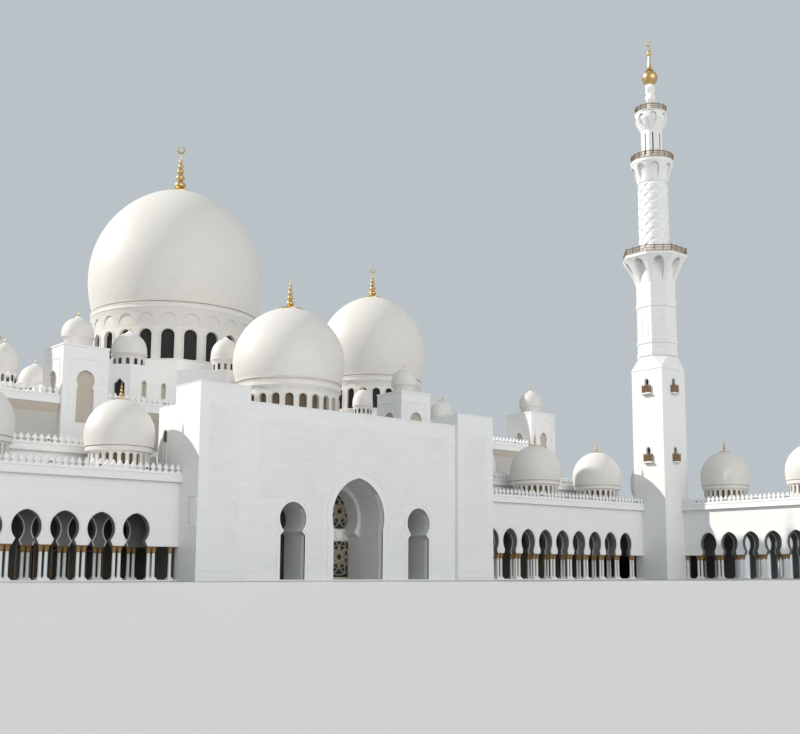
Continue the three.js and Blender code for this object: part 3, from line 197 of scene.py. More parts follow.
class Surface:
    """Grids of points gathered shell by shell; points of one shell that meet are merged, so seams close."""

    def __init__(self):
        self.points, self.shells, self.faces, self.finishes, self.maps = [], [], [], [], []
        self.count, self.base, self.width = 0, 0, 0

    def add(self, grid, finish=0, spots=None, around=True, joined=False, uv=None):
        """Faces (i, j), (i, j+1), (i+1, j+1), (i+1, j) over each grid of (copies, rows, columns, 3), or over
        a grid of (rows, columns, 3) stood on spots. around joins the last column to the first, joined keeps
        the shells of the grid before."""
        grid = np.asarray(grid, float) if spots is None else stand(grid, spots)
        grid = grid if grid.ndim == 4 else grid[None]
        copies, rows, columns, _ = grid.shape
        if not joined:
            self.base, self.width = self.base + self.width, copies
        i, j = np.meshgrid(np.arange(rows - 1), np.arange(columns - 1 + around), indexing="ij")
        k = (j + 1) % columns
        row, after = i * columns, (i + 1) * columns
        quads = np.stack([row + j, row + k, after + k, after + j], -1)
        starts = self.count + np.arange(copies)[:, None, None] * rows * columns
        faces = (starts + quads.reshape(1, -1, 4)).reshape(-1, 4)
        if uv is None:
            uv = np.zeros((rows, columns, 2))
        if around and uv.shape[1] == columns:
            uv = np.concatenate([uv, uv[:, :1]], 1)
        corners = np.stack([uv[i, j], uv[i, j + 1], uv[i + 1, j + 1], uv[i + 1, j]], -2).reshape(1, -1, 4, 2)
        self.points.append(grid.reshape(-1, 3))
        self.shells.append(np.repeat(self.base + np.arange(copies), rows * columns))
        self.faces.append(faces)
        self.finishes.append(np.full(len(faces), finish))
        self.maps.append(np.broadcast_to(corners, (copies,) + corners.shape[1:]).reshape(-1, 4, 2))
        self.count += copies * rows * columns

    def turn(self, profile, sides, x, y):
        """A turned surface with its UV."""
        self.add(turned(profile, sides, x, y), uv=turned_map(profile, sides))

    def make(self, name, kinds, slot, *replaces):
        """Merges points shell by shell, drops faces that have shrunk to a line, turns the rest outwards."""
        points = np.concatenate(self.points)
        keys = np.column_stack([np.concatenate(self.shells), np.rint(points * 1e5).astype(np.int64)])
        _, first, back = np.unique(keys, axis=0, return_index=True, return_inverse=True)
        faces = back.reshape(-1)[np.concatenate(self.faces)]
        kept = faces != np.roll(faces, 1, axis=1)
        whole = (kept.sum(1) > 2) & (faces[:, 0] != faces[:, 2]) & (faces[:, 1] != faces[:, 3])
        kept &= whole[:, None]
        totals = kept.sum(1)[whole]
        mesh = bpy.data.meshes.new(name)
        mesh.vertices.add(len(first))
        mesh.vertices.foreach_set("co", points[first].astype(np.float32).ravel())
        mesh.loops.add(int(kept.sum()))
        mesh.loops.foreach_set("vertex_index", faces[kept].astype(np.int32))
        mesh.polygons.add(len(totals))
        mesh.polygons.foreach_set("loop_start", (np.cumsum(totals) - totals).astype(np.int32))
        mesh.polygons.foreach_set("material_index", np.concatenate(self.finishes)[whole].astype(np.int32))
        maps = np.concatenate(self.maps)[kept]
        mesh.uv_layers.new(name="UVMap").data.foreach_set("uv", maps.astype(np.float32).ravel())
        mesh.update(calc_edges=True)
        mesh.validate()
        turn_outwards(mesh)
        mesh.shade_smooth()
        mesh.set_sharp_from_angle(angle=math.radians(32))
        for kind in kinds.split():
            mesh.materials.append(finish(kind))
        piece = bpy.data.objects.new(name, mesh)
        bpy.context.scene.collection.objects.link(piece)
        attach(piece, "root")
        if replaces:
            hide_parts(*replaces)


def turn_outwards(mesh):
    work = bmesh.new()
    work.from_mesh(mesh)
    bmesh.ops.recalc_face_normals(work, faces=work.faces)
    work.to_mesh(mesh)
    work.free()


# Points

def turns(count, phase=0.0):
    """Equal steps round a full turn."""
    return np.arange(count) * 2 * math.pi / count + phase


def polar(radius, turn, height, x=0.0, y=0.0):
    """Points by radius, turn and height about an upright axis."""
    return np.stack(np.broadcast_arrays(x + radius * np.cos(turn), y + radius * np.sin(turn), height), -1)


def level(plan, height):
    """A plan in x and y at a height."""
    plan = np.asarray(plan, float)
    return np.column_stack([plan, np.full(len(plan), height)])


def upright(outline, depth):
    """An outline in along and height, stood upright at a depth."""
    outline = np.asarray(outline, float)
    return np.stack([outline[..., 0], np.full(outline.shape[:-1], depth), outline[..., 1]], -1)


def mirrored(right):
    """An outline from its left foot over the top to its right foot, from its right half."""
    return np.concatenate([right[:-1] * (-1, 1), right[::-1]])


def circle(radius, sides, x=0.0, y=0.0, phase=0.0):
    return polar(radius, turns(sides, phase), 0.0, x, y)[:, :2]


def octagon(flat, x, y):
    """Octagon by its flat radius, counterclockwise, with a face to the front."""
    return circle(flat / math.cos(math.pi / 8), 8, x, y, math.pi / 8)


def rectangle(x0, x1, y0, y1):
    """Counterclockwise corners of a plan."""
    return np.array([(x0, y0), (x1, y0), (x1, y1), (x0, y1)])


def field(x0, x1, z0, z1):
    """Corners of an upright field, from the lower left over the top to the lower right."""
    return np.array([(x0, z0), (x0, z1), (x1, z1), (x1, z0)])


def cut_square(x, y, half, cut):
    """Square plan with cut corners, counterclockwise."""
    near = half - cut
    return np.array([(-near, -half), (near, -half), (half, -near), (half, near), (near, half), (-near, half),
                     (-half, near), (-half, -near)]) + (x, y)


def bar(out, low, high, back=0.0):
    return [(back, low), (out, low), (out, high), (back, high)]


def roll(out, height, radius, steps=8):
    return circle(radius, steps, out, height)


def keyhole(arch, low, steps=10):
    """Outline from the left foot over the head to the right foot: jamb, neck and a swelling, pointed head."""
    jamb, impost, neck, neck_z, wide, wide_z, apex = arch
    feet = [(jamb, low), (jamb, impost)] if impost > low + 1e-6 else [(jamb, low)]
    right = np.concatenate([feet, swell(wide, wide_z, neck, neck_z, apex, 0.0, steps // 2, steps)])
    right = right[np.concatenate([[True], np.hypot(*np.diff(right, axis=0).T) > 1e-4])]
    return mirrored(right)


def swell(wide, wide_z, foot, foot_z, apex, cap, lower_steps, steps):
    """An ellipse arc that swells from the foot to the widest point, then an arc of larger radius whose centre
    lies beyond the axis, so that it closes in a slight point; it ends at the cap's half width."""
    sweep = math.acos(min(foot / wide, 0.9999))
    drop = (wide_z - foot_z) / math.sin(sweep)
    t = -sweep * (1 - np.arange(lower_steps) / lower_steps)
    lower = np.column_stack([wide * np.cos(t), wide_z + drop * np.sin(t)])
    shift = ((apex - wide_z) ** 2 - wide ** 2) / (2 * wide)
    reach = wide + shift
    t = math.acos((cap + shift) / reach) * np.linspace(0, 1, steps)
    return np.concatenate([lower, np.column_stack([reach * np.cos(t) - shift, wide_z + reach * np.sin(t)])])


def bulb(dome, steps=40):
    """Outer profile of a dome from its foot to its seat."""
    radius, widest, foot, foot_radius, apex, cap = dome
    return swell(radius, widest, foot_radius, foot, apex, cap, steps // 3, steps)


def grown(arch, by):
    """The same keyhole arch, wider by so much on every side."""
    jamb, impost, neck, neck_z, wide, wide_z, apex = arch
    return jamb + by, impost, neck + by, neck_z, wide + by, wide_z, apex + by * 1.15


def round_head(half, sill, head, steps=10, point=1.0):
    """Window outline from the left sill over the head to the right sill; point stretches the head upwards."""
    t = math.pi * (1 - np.linspace(0, 1, steps + 1))
    rise = half * point
    top = np.column_stack([half * np.cos(t), head - rise + rise * np.sin(t)])
    return np.concatenate([[(-half, sill)], top, [(half, sill)]])


def beaded(bottom, top, foot, beads, spindle, steps=72):
    """Profile of a turned finial: at each height the widest of a tapering spindle and the beads, which are
    ellipses; beads are (share of the height, half width, half height) and the foot flares to its radius."""
    t = np.linspace(0, 1, steps)
    height = top - bottom
    radius = spindle * (1 - t) + 0.15 * spindle * t
    for share, half_width, half_height in beads:
        inside = np.clip(1 - ((t - share) * height / half_height) ** 2, 0, None)
        radius = np.maximum(radius, half_width * np.sqrt(inside))
    radius = np.maximum(radius, foot * np.clip(1 - t / 0.07, 0, None) ** 1.6)
    profile = np.column_stack([radius, bottom + height * t])
    return np.concatenate([[(0, bottom)], profile, [(0, top)]])


def gilt_cap(dome, reach, rim=0.02):
    """Profile of the gilded cap on a dome: its rim stands on the dome, and a shallow cone rises from it."""
    upper = dome[len(dome) // 3:]
    edge = np.interp(reach, upper[::-1, 0], upper[::-1, 1])
    seat = dome[-1, 1]
    return np.array([(0, edge - 0.01), (reach - 0.004, edge - 0.006), (reach + 0.006, edge),
                     (reach + 0.008, edge + rim), (reach * 0.9, edge + rim * 1.4),
                     (reach * 0.55, seat + rim * 0.9), (reach * 0.3, seat + rim * 1.8),
                     (0, seat + rim * 1.9)])


# Grids

def capped(sections):
    """A stack of closed sections with its middle point added before and after, which closes both ends."""
    ends = [np.broadcast_to(end.mean(-2, keepdims=True), end.shape)
            for end in (sections[..., :1, :, :], sections[..., -1:, :, :])]
    return np.concatenate([ends[0], sections, ends[1]], -3)


def prism(plan, low, high):
    """A plan in x and y drawn up from low to high."""
    return capped(np.stack([level(plan, low), level(plan, high)]))


def slab(x0, x1, y0, y1, low, high):
    return prism(rectangle(x0, x1, y0, y1), low, high)


def plate(outline, front, back):
    """An outline in along and height drawn from the front depth to the back depth."""
    return capped(np.stack([upright(outline, front), upright(outline, back)]))


def turned(profile, sides, x=0.0, y=0.0):
    """A profile of (radius, height) turned about an upright axis."""
    profile = np.asarray(profile, float)
    return polar(profile[:, :1], turns(sides), profile[:, 1:], x, y)


def turned_map(profile, sides):
    """UV of a turned surface: length round the widest circle, and length along the profile."""
    profile = np.asarray(profile, float)
    run = np.concatenate([[0], np.cumsum(np.hypot(*np.diff(profile, axis=0).T))])
    u, v = np.meshgrid(np.linspace(0, 2 * math.pi * profile[:, 0].max(), sides + 1), run)
    return np.stack([u, v], -1)


def torus(radius, height, size, sides, x, y):
    """A roll carried round an upright axis."""
    ring = roll(radius, height, size)
    return turned(np.concatenate([ring, ring[:1]]), sides, x, y)


def mitres(path, closed):
    """At each point of a path, the mean of its two sides' right-hand normals over one plus their product."""
    step = np.roll(path, -1, axis=0) - path
    side = np.column_stack([step[:, 1], -step[:, 0]]) / np.maximum(np.hypot(*step.T), 1e-9)[:, None]
    if not closed:
        side[-1] = side[-2]
    before = np.roll(side, 1, axis=0)
    if not closed:
        before[0] = side[0]
    return (before + side) / np.maximum(1 + (before * side).sum(1), 0.4)[:, None]


def carried(plan, profile, closed=True):
    """A closed profile of (out, height) carried along a plan, out along the mitres."""
    plan, profile = np.asarray(plan, float), np.asarray(profile, float)
    flat = plan[:, None] + profile[None, :, :1] * mitres(plan, closed)[:, None]
    sections = np.concatenate([flat, np.broadcast_to(profile[None, :, 1:], flat.shape[:2] + (1,))], -1)
    return np.concatenate([sections, sections[:1]]) if closed else capped(sections)


def framed(inner, outer, front, back, closed=False):
    """A band between two outlines of as many points, from the front depth to the back depth."""
    grid = np.stack([upright(outline, depth) for outline, depth in (
        (inner, front), (outer, front), (outer, back), (inner, back))], 1)
    return np.concatenate([grid, grid[:1]]) if closed else capped(grid)


def lining(outline, inward, outward, front, back, closed=False):
    """A rectangular ring along an outline: inward and outward of it, from the front to the back depth."""
    normal = -mitres(outline, closed)
    return framed(outline - normal * inward, outline + normal * outward, front, back, closed)


def pierced(outline, half, low, high, thick, rows=2):
    """Wall panel with one opening, as front, back, reveal and edge grids: rays from the opening's middle
    through its outline meet the panel's edge, and the panel's corners take the nearest ray."""
    eye = np.array([0.0, (outline[:, 1].min() + outline[:, 1].max()) / 2])
    ray = outline - eye
    with np.errstate(divide="ignore", invalid="ignore"):
        side = half / np.abs(ray[:, 0])
        reach = np.where(ray[:, 1] > 0, (high - eye[1]) / ray[:, 1], (low - eye[1]) / ray[:, 1])
    reach = np.minimum(np.where(ray[:, 0] == 0, np.inf, side), np.where(ray[:, 1] == 0, np.inf, reach))
    edge = eye + ray * reach[:, None]
    corners = field(-half, half, low, high)
    at = [int(np.argmin(np.hypot(*(edge - c).T))) for c in corners]
    edge[at] = corners
    face = outline + (edge - outline) * np.linspace(0, 1, rows + 1)[:, None, None]
    front, back = upright(face, 0.0), upright(face, thick)
    return {"front": front, "back": back, "reveal": np.stack([front[0], back[0]]),
            "top": np.stack([front[-1, at[1]:at[2] + 1], back[-1, at[1]:at[2] + 1]]),
            "foot": np.stack([front[-1, [at[3], at[0]]], back[-1, [at[3], at[0]]]])}


def crescent(x, y, low, radius, thickness, opening=0.14, steps=36):
    """A ring in the upright plane along the diagonal from rear left to front right, nearly closed at its top:
    its bar is an ellipse that thins towards the tips."""
    t = np.linspace(opening, 2 * math.pi - opening, steps)
    share = (t - opening) / (2 * math.pi - 2 * opening)
    size = (thickness * (0.12 + 0.88 * np.sin(share * math.pi)))[:, None]
    distance = radius - size + size * np.cos(turns(8))
    along = distance * np.sin(t)[:, None]
    across = 0.6 * size * np.sin(turns(8))
    height = low + radius + distance * np.cos(t)[:, None]
    half = math.sqrt(0.5)
    return capped(np.stack([x + (along + across) * half, y + (across - along) * half, height], -1))


# Copies on spots

def spots_at(x, y, z=0.0, turn=0.0):
    """Spots to stand copies on: a place, a level and a turn."""
    return np.stack(np.broadcast_arrays(x, y, z, turn), -1).astype(float)


def stand(grid, spots):
    """Copies of a grid of (along, depth, height): x = x0 + along cos t - depth sin t, y = y0 + along sin t +
    depth cos t, z = z0 + height."""
    spots = np.asarray(spots, float).reshape(-1, 4)
    x0, y0, z0, t = (spots[:, k, None, None] for k in range(4))
    a, d, h = (np.asarray(grid, float)[None, ..., k] for k in range(3))
    x = x0 + a * np.cos(t) - d * np.sin(t)
    return np.stack([x, y0 + a * np.sin(t) + d * np.cos(t), z0 + h + 0 * t], -1)


def bend(grid, x, y, radius, angles):
    """Copies of a flat grid wrapped on an upright cylinder: angle = t + along / radius, distance = radius -
    depth."""
    a, d, h = (np.asarray(grid, float)[None, ..., k] for k in range(3))
    return polar(radius - d, np.asarray(angles, float)[:, None, None] + a / radius, h, x, y)


def on_drum(x, y, radius, angles, z=0.0):
    """Spots on a cylinder, facing out."""
    return spots_at(x + radius * np.cos(angles), y + radius * np.sin(angles), z, angles + QUARTER)


def four_faces(x0, x1, y0, y1):
    """Spots in the middle of the front, the right, the rear and the left face of a box."""
    x, y = (x0 + x1) / 2, (y0 + y1) / 2
    return np.array([(x, y0, 0, 0), (x1, y, 0, QUARTER), (x, y1, 0, math.pi), (x0, y, 0, -QUARTER)])


def run_spots(run, alongs, depth):
    """Spots of a run of arcade: along it from its origin, and at a depth behind its face."""
    x0, y0, z0, t = run["origin"]
    a = np.asarray(alongs, float)
    x = x0 + a * math.cos(t) - depth * math.sin(t)
    return spots_at(x, y0 + a * math.sin(t) + depth * math.cos(t), z0, t)


def clear_of_minaret(spots):
    """The spots that don't stand inside the minaret."""
    reach = MINARET_HALF + 0.03
    return spots[(np.abs(spots[:, :2] - MINARET) > reach).any(1)]


def pair_places(run):
    return run["first"] + run["bay"] * np.arange(run["bays"] + 1)


def bay_centres(run):
    return run["first"] + run["bay"] * (np.arange(run["bays"]) + 0.5)


def bay_arch(run):
    """Keyhole arch of a run, as wide as its bay asks for."""
    half = abs(run["bay"]) / 2
    return half - 0.073, CAPITAL_TOP, 0.133, 0.52, 0.792 * half, 0.662, 0.876


# Shader maths

class Wire:
    """An output socket that can stand in an expression: each operator adds one Math node."""

    def __init__(self, finish, socket):
        self.finish, self.socket = finish, socket

    def math(self, operation, *others):
        sockets = dict(enumerate((self,) + others))
        return self.finish.node("ShaderNodeMath", {"operation": operation}, sockets)

    def __add__(self, other):
        return self.math("ADD", other)

    def __sub__(self, other):
        return self.math("SUBTRACT", other)

    def __rsub__(self, other):
        return self.math("MULTIPLY", -1.0) + other

    def __mul__(self, other):
        return self.math("MULTIPLY", other)

    def __gt__(self, other):
        return self.math("GREATER_THAN", other)

    def __lt__(self, other):
        return self.math("LESS_THAN", other)

    def clip(self):
        return self.math("MAXIMUM", 0.0).math("MINIMUM", 1.0)

    def band(self, low, high):
        return (self > low) * (self < high)

    def crease(self, middle=0.5):
        """Distance from a middle value."""
        return (self - middle).math("ABSOLUTE")

    def stripe(self):
        """Distance from the middle of each whole step."""
        return self.math("FRACT").crease()

    __radd__, __rmul__ = __add__, __mul__


class Finish:
    """A material being made: a Principled shader and the nodes that feed it."""

    def __init__(self, name, **constants):
        self.material = bpy.data.materials.new(name)
        self.material.use_nodes = True
        self.tree = self.material.node_tree
        self.shader = self.tree.nodes["Principled BSDF"]
        for socket, value in constants.items():
            self.feed(self.shader.inputs[socket.replace("_", " ")], value)

    def feed(self, socket, value):
        if isinstance(value, Wire):
            self.tree.links.new(value.socket, socket)
        elif hasattr(value, "__len__") and len(value) == 3 and socket.type == "RGBA":
            socket.default_value = (*value, 1.0)
        else:
            socket.default_value = value

    def node(self, kind, settings, sockets, output=0):
        """Adds a node: its settings first, then its sockets' values or links."""
        node = self.tree.nodes.new(kind)
        for name, value in settings.items():
            setattr(node, name, value)
        for name, value in sockets.items():
            self.feed(node.inputs[name], value)
        return Wire(self, node.outputs[output])

    def place(self, kind="Object"):
        return self.node("ShaderNodeTexCoord", {}, {}, kind)

    def axes(self, vector):
        split = self.node("ShaderNodeSeparateXYZ", {}, {"Vector": vector}).socket.node
        return [Wire(self, socket) for socket in split.outputs]

    def vector(self, x, y):
        return self.node("ShaderNodeCombineXYZ", {}, {"X": x, "Y": y})

    def noise(self, scale, detail=3.0, roughness=0.5, distortion=0.0):
        return self.node("ShaderNodeTexNoise", {}, {
            "Vector": self.place(), "Scale": scale, "Detail": detail, "Roughness": roughness,
            "Distortion": distortion})

    def mix(self, share, first, second):
        return self.node("ShaderNodeMix", {"data_type": "RGBA"}, {"Factor": share, 6: first, 7: second}, 2)

    def stones(self, vector, width, height, joint):
        """Courses of stones in half bond: (tint of a stone, joint)."""
        tint = self.node("ShaderNodeTexBrick", {"offset": 0.5, "squash": 1.0}, {
            "Vector": vector, "Color1": (0, 0, 0), "Color2": (1, 1, 1), "Mortar": (0.5, 0.5, 0.5),
            "Scale": 1.0, "Mortar Size": joint, "Mortar Smooth": 0.3, "Bias": 0.0,
            "Brick Width": width, "Row Height": height})
        return tint, Wire(self, tint.socket.node.outputs["Fac"])

    def bump(self, height, strength, distance):
        normal = self.node("ShaderNodeBump", {}, {"Height": height, "Strength": strength,
                                                  "Distance": distance})
        self.feed(self.shader.inputs["Normal"], normal)

    def done(self, colour, roughness=None):
        self.feed(self.shader.inputs["Base Color"], colour)
        if roughness:
            self.feed(self.shader.inputs["Roughness"], roughness)
        return self.material


def shade(colour, factor):
    return tuple(min(c * factor, 1.0) for c in colour)


def marble_tone(finish, base, tint, joint, stain=0.05):
    """Marble colour: stones of slightly different tone, cloudy patches, thin grey veins, and joints."""
    cloud = finish.noise(1.3, 5.0, 0.6)
    veins = finish.noise(5.0, 6.0, 0.65, 1.2)
    vein = (1.0 - veins.crease() * 26.0).clip() * 0.1
    tone = finish.mix(tint * 0.3 + cloud * 0.5, shade(base, 0.95), shade(base, 1.04))
    tone = finish.mix(vein + (cloud - 0.52).clip() * stain, tone, shade(base, 0.76))
    return finish.mix(joint * 0.28, tone, shade(base, 0.64))


def painted_underside_shade(finish, tone, base):
    """Undersides of cornices and slabs, darker than the faces."""
    _, _, up = finish.axes(finish.node("ShaderNodeNewGeometry", {}, {}, "Normal"))
    return finish.mix((up < -0.6) * 0.55, tone, shade(base, 0.5))


def cladding(name, base, specular=0.4):
    """Stones on upright walls, their length along x + y, which fits walls that face either way: the finish,
    its tone, and the height of the stones over their joints."""
    finish = Finish(name, Specular_IOR_Level=specular)
    s = sizes()
    x, y, z = finish.axes(finish.place())
    tint, joint = finish.stones(finish.vector(x + y, z), s.stone, s.course, s.joint)
    return finish, marble_tone(finish, base, tint, joint), 1.0 - joint


def clad_marble():
    base = colours().marble
    finish, tone, proud = cladding("clad_marble", base, 0.45)
    finish.bump(proud, 0.35, 0.002)
    # Undersides get painted shade
    return finish.done(painted_underside_shade(finish, tone, base), finish.noise(9.0) * 0.25 + 0.3)


def arcade_marble():
    """Cladding that turns to a darker stone inside the arcades: on the middle rows, and darker still on the
    ceilings and on the wall behind."""
    base, dark = colours().marble, colours().arcade_painted_shade
    finish, tone, proud = cladding("arcade_marble", base)
    x, y, z = finish.axes(finish.place())
    front = x.band(-6.085, 7.7) * y.band(0.006, 1.28)
    turned_run = x.band(7.717, 8.905) * y.band(-3.75, 1.25)
    # Painted shade: inside marks the arcades' inner faces, deep their ceilings and the wall behind
    inside = front.math("MAXIMUM", turned_run) * (z < ARCADE_CEILING + 0.0008)
    deep = (z > ARCADE_CEILING - 0.0008).math("MAXIMUM", y.band(1.19, 1.28)) * inside
    tone = finish.mix(inside * 0.85, painted_underside_shade(finish, tone, base), dark)
    tone = finish.mix(deep * 0.9, tone, shade(dark, 0.3))
    finish.bump(proud, 0.35, 0.002)
    return finish.done(tone, finish.noise(9.0) * 0.25 + 0.35)


def hall_marble(name="hall_marble", base=(0.72, 0.72, 0.715)):
    """Cladding of the entrance hall, a shade darker than outside."""
    finish, tone, proud = cladding(name, base)
    finish.bump(proud, 0.35, 0.002)
    return finish.done(tone, finish.noise(9.0) * 0.25 + 0.35)


def carved_marble():
    """Cladding whose broad fields carry shallow carved flowers: blurred scrolls and small leaves from the
    contour lines of two smooth noises. The reveals of the arches and the sides in the arcades are darker."""
    base = colours().marble
    finish, tone, proud = cladding("carved_marble", base, 0.45)
    x, y, z = finish.axes(finish.place())
    side = x.math("ABSOLUTE")
    pylon = side.band(2.06, 2.55) * z.band(0.42, 2.34)
    upper = side.band(0.0, 1.74) * z.band(1.12, 2.22)
    lower = side.band(0.62, 0.86) * z.band(0.3, 1.2)
    carved = (pylon + upper + lower).clip() * (y < -0.38)
    worn = ((finish.noise(1.7, 4.0, 0.75) - 0.38) * 3.6).clip()
    scroll = (1.0 - finish.noise(9.0, 3.0, 0.6, 1.8).crease() * 11.0).clip()
    leaf = (1.0 - finish.noise(26.0, 3.0, 0.6, 1.0).crease() * 8.0).clip()
    relief = scroll.math("MAXIMUM", leaf * 0.8) * carved * (worn * 0.75 + 0.25)
    # Undersides get painted shade; the carved relief is a darker tone
    tone = finish.mix(relief * 0.3, painted_underside_shade(finish, tone, base), shade(base, 0.7))
    # Painted shade in the reveals of the portal's arches
    reveal = y.band(-0.3, 0.2) * side.band(-1.0, 1.45) * (z < 1.55)
    tone = finish.mix(reveal * 0.9, tone, shade(base, 0.85))
    # Painted shade on the pylons' sides inside the arcades
    behind = side.band(2.68, 2.70) * y.band(0.09, 1.21) * (z < ARCADE_CEILING)
    tone = finish.mix(behind * 0.9, tone, shade(colours().arcade_painted_shade, 0.6))
    finish.bump(relief * 0.6 + proud * 0.3, 0.45, 0.004)
    return finish.done(tone, finish.noise(9.0) * 0.25 + 0.33)


def dome_marble():
    """Thin courses round the dome, on its own UV map, with cloudy patches."""
    finish = Finish("dome_marble", Specular_IOR_Level=0.4)
    u, v, _ = finish.axes(finish.place("UV"))
    tint, joint = finish.stones(finish.vector(u, v), 0.11, 0.05, 0.0022)
    finish.bump(1.0 - joint, 0.25, 0.002)
    return finish.done(marble_tone(finish, colours().dome, tint, joint * 0.8, 0.1),
                       finish.noise(7.0) * 0.2 + 0.42)


def plain_marble():
    """Small carved stones and mouldings: veined marble without joints."""
    finish = Finish("plain_marble", Specular_IOR_Level=0.45)
    base = colours().marble
    cloud = finish.noise(3.0, 5.0, 0.6)
    finish.bump(finish.noise(60.0, 2.0), 0.08, 0.001)
    tone = finish.mix(cloud * 0.8, shade(base, 0.94), shade(base, 1.05))
    # Undersides get painted shade
    return finish.done(painted_underside_shade(finish, tone, base), cloud * 0.25 + 0.3)


def niche_stone(name="niche_stone", base=None):
    """Warm stone at the back of niches, under the hall's cornice and in the arcades' reveals."""
    finish = Finish(name, Specular_IOR_Level=0.3)
    cloud = finish.noise(6.0, 4.0, 0.6)
    base = base or colours().niche
    finish.bump(cloud, 0.1, 0.002)
    return finish.done(finish.mix(cloud, shade(base, 0.88), shade(base, 1.1)), cloud * 0.2 + 0.5)


def metal(name, share, scale, dark, light, rough):
    """Metal whose patina is lighter and rougher in places: the finish, its tone and its roughness."""
    finish = Finish(name, Metallic=share)
    patina = finish.noise(scale, 4.0, 0.6)
    return finish, finish.mix(patina, dark, light), patina * 0.25 + rough


def gilding():
    base = colours().gold
    finish, tone, rough = metal("gilding", 1.0, 14.0, shade(base, 0.72), shade(base, 1.12), 0.24)
    finish.bump(finish.noise(90.0, 2.0), 0.12, 0.001)
    return finish.done(tone, rough)


def tracery_gilt():
    """Dull pale gold of the lines on the entrance screen."""
    finish = Finish("tracery_gilt", Metallic=0.25)
    patina = finish.noise(20.0)
    return finish.done(finish.mix(patina, (0.48, 0.42, 0.30), (0.68, 0.61, 0.46)), patina * 0.2 + 0.35)


def rail_bronze():
    """Bronze of the minaret's railings."""
    finish, *look = metal("rail_bronze", 0.5, 30.0, (0.15, 0.085, 0.045), (0.42, 0.26, 0.13), 0.38)
    return finish.done(*look)


def capital_copper():
    """Copper-coloured palm leaves of the capitals, with darker hollows between the leaves."""
    finish, tone, rough = metal("capital_copper", 0.4, 40.0, (0.30, 0.17, 0.07), (0.58, 0.39, 0.18), 0.32)
    u, _, _ = finish.axes(finish.place("UV"))
    leaf = (u * 52.0).stripe() * 2.0
    finish.bump(1.0 - leaf, 0.5, 0.003)
    return finish.done(finish.mix(leaf * leaf * 0.6, tone, (0.14, 0.06, 0.02)), rough)


def lattice(name, bars, pitch, share):
    """Window lattice: three families of bars at 60 degrees over dark glass, on the window's own UV map."""
    finish = Finish(name, Specular_IOR_Level=0.12)
    u, v, _ = finish.axes(finish.place("UV"))
    families = [(u * (math.cos(turn) / pitch) + v * (math.sin(turn) / pitch)).stripe() > 0.5 - share / 2
                for turn in (0.0, math.pi / 3, 2 * math.pi / 3)]
    total = families[0].math("MAXIMUM", families[1]).math("MAXIMUM", families[2])
    tone = finish.mix(finish.noise(40.0, 2.0), shade(bars, 0.6), shade(bars, 1.2))
    finish.bump(total, 0.6, 0.003)
    return finish.done(finish.mix(total, colours().glass, tone), total * 0.3 + 0.4)


def inlaid_marble():
    """Column shaft: white marble with small inlaid flowers and stems that wind up it."""
    finish = Finish("inlaid_marble", Specular_IOR_Level=0.5)
    base = colours().marble
    u, v, _ = finish.axes(finish.place("UV"))
    dots = finish.node("ShaderNodeTexVoronoi", {}, {"Vector": finish.vector(u, v * 0.6), "Scale": 150.0})
    wind = ((v * 26.0).math("SINE") * 0.018 + u).math("FRACT")
    tone = finish.mix(finish.noise(8.0), shade(base, 0.92), shade(base, 1.03))
    tone = finish.mix(((wind * 14.0).stripe() < 0.035) * 0.45, tone, (0.22, 0.26, 0.18))
    tone = finish.mix((dots < 0.24) * 0.7, tone, (0.24, 0.13, 0.10))
    return finish.done(tone, finish.noise(20.0) * 0.15 + 0.22)


def dark_glass():
    finish = Finish("dark_glass", Specular_IOR_Level=0.6)
    film = finish.noise(3.0)
    return finish.done(finish.mix(film, colours().glass, (0.03, 0.034, 0.04)), film * 0.12 + 0.05)


MAKERS = {
    "clad": clad_marble, "arcade": arcade_marble, "hall": hall_marble, "carved": carved_marble,
    "dome": dome_marble, "plain": plain_marble, "gold": gilding, "capital": capital_copper,
    "rail": rail_bronze, "tracery": tracery_gilt, "inlay": inlaid_marble, "glass": dark_glass,
    # Painted shade: the dark tone of the reveals in the arcade arches
    "niche": niche_stone, "reveal": lambda: niche_stone("reveal_stone", (0.24, 0.235, 0.225)),
    # Painted shade: the hall's front wall is darker and warmer
    "hall_front": lambda: hall_marble("hall_front_marble", (0.52, 0.50, 0.465)),
    "lattice": lambda: lattice("drum_lattice", colours().lattice, 0.04, 0.14),
    "bronze_lattice": lambda: lattice("bronze_lattice", (0.26, 0.19, 0.12), 0.03, 0.25),
    "pale_lattice": lambda: lattice("pale_lattice", (0.72, 0.66, 0.50), 0.03, 0.35),
}
FINISHES = {}


def finish(name):
    if name not in FINISHES:
        FINISHES[name] = MAKERS[name]()
    return FINISHES[name]


# Pieces

def dress_walls():
    """Gives every packed piece that stays its finish."""
    # The hall, its front wall and the arcades take finishes with painted shade
    kinds = {"portal_front": "carved", "portal_pylon_left": "carved", "portal_pylon_right": "carved",
             "portal_hall": "hall", "hall_front_wall": "hall_front", "outer_wall": "arcade",
             "left_aisle": "arcade", "right_aisle": "arcade"}
    kinds.update({f"{side}_arcade_walls": "arcade" for side in RUNS})
    for name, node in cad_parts.items():
        node.data.materials.clear()
        node.data.materials.append(finish(kinds.get(name, "clad")))


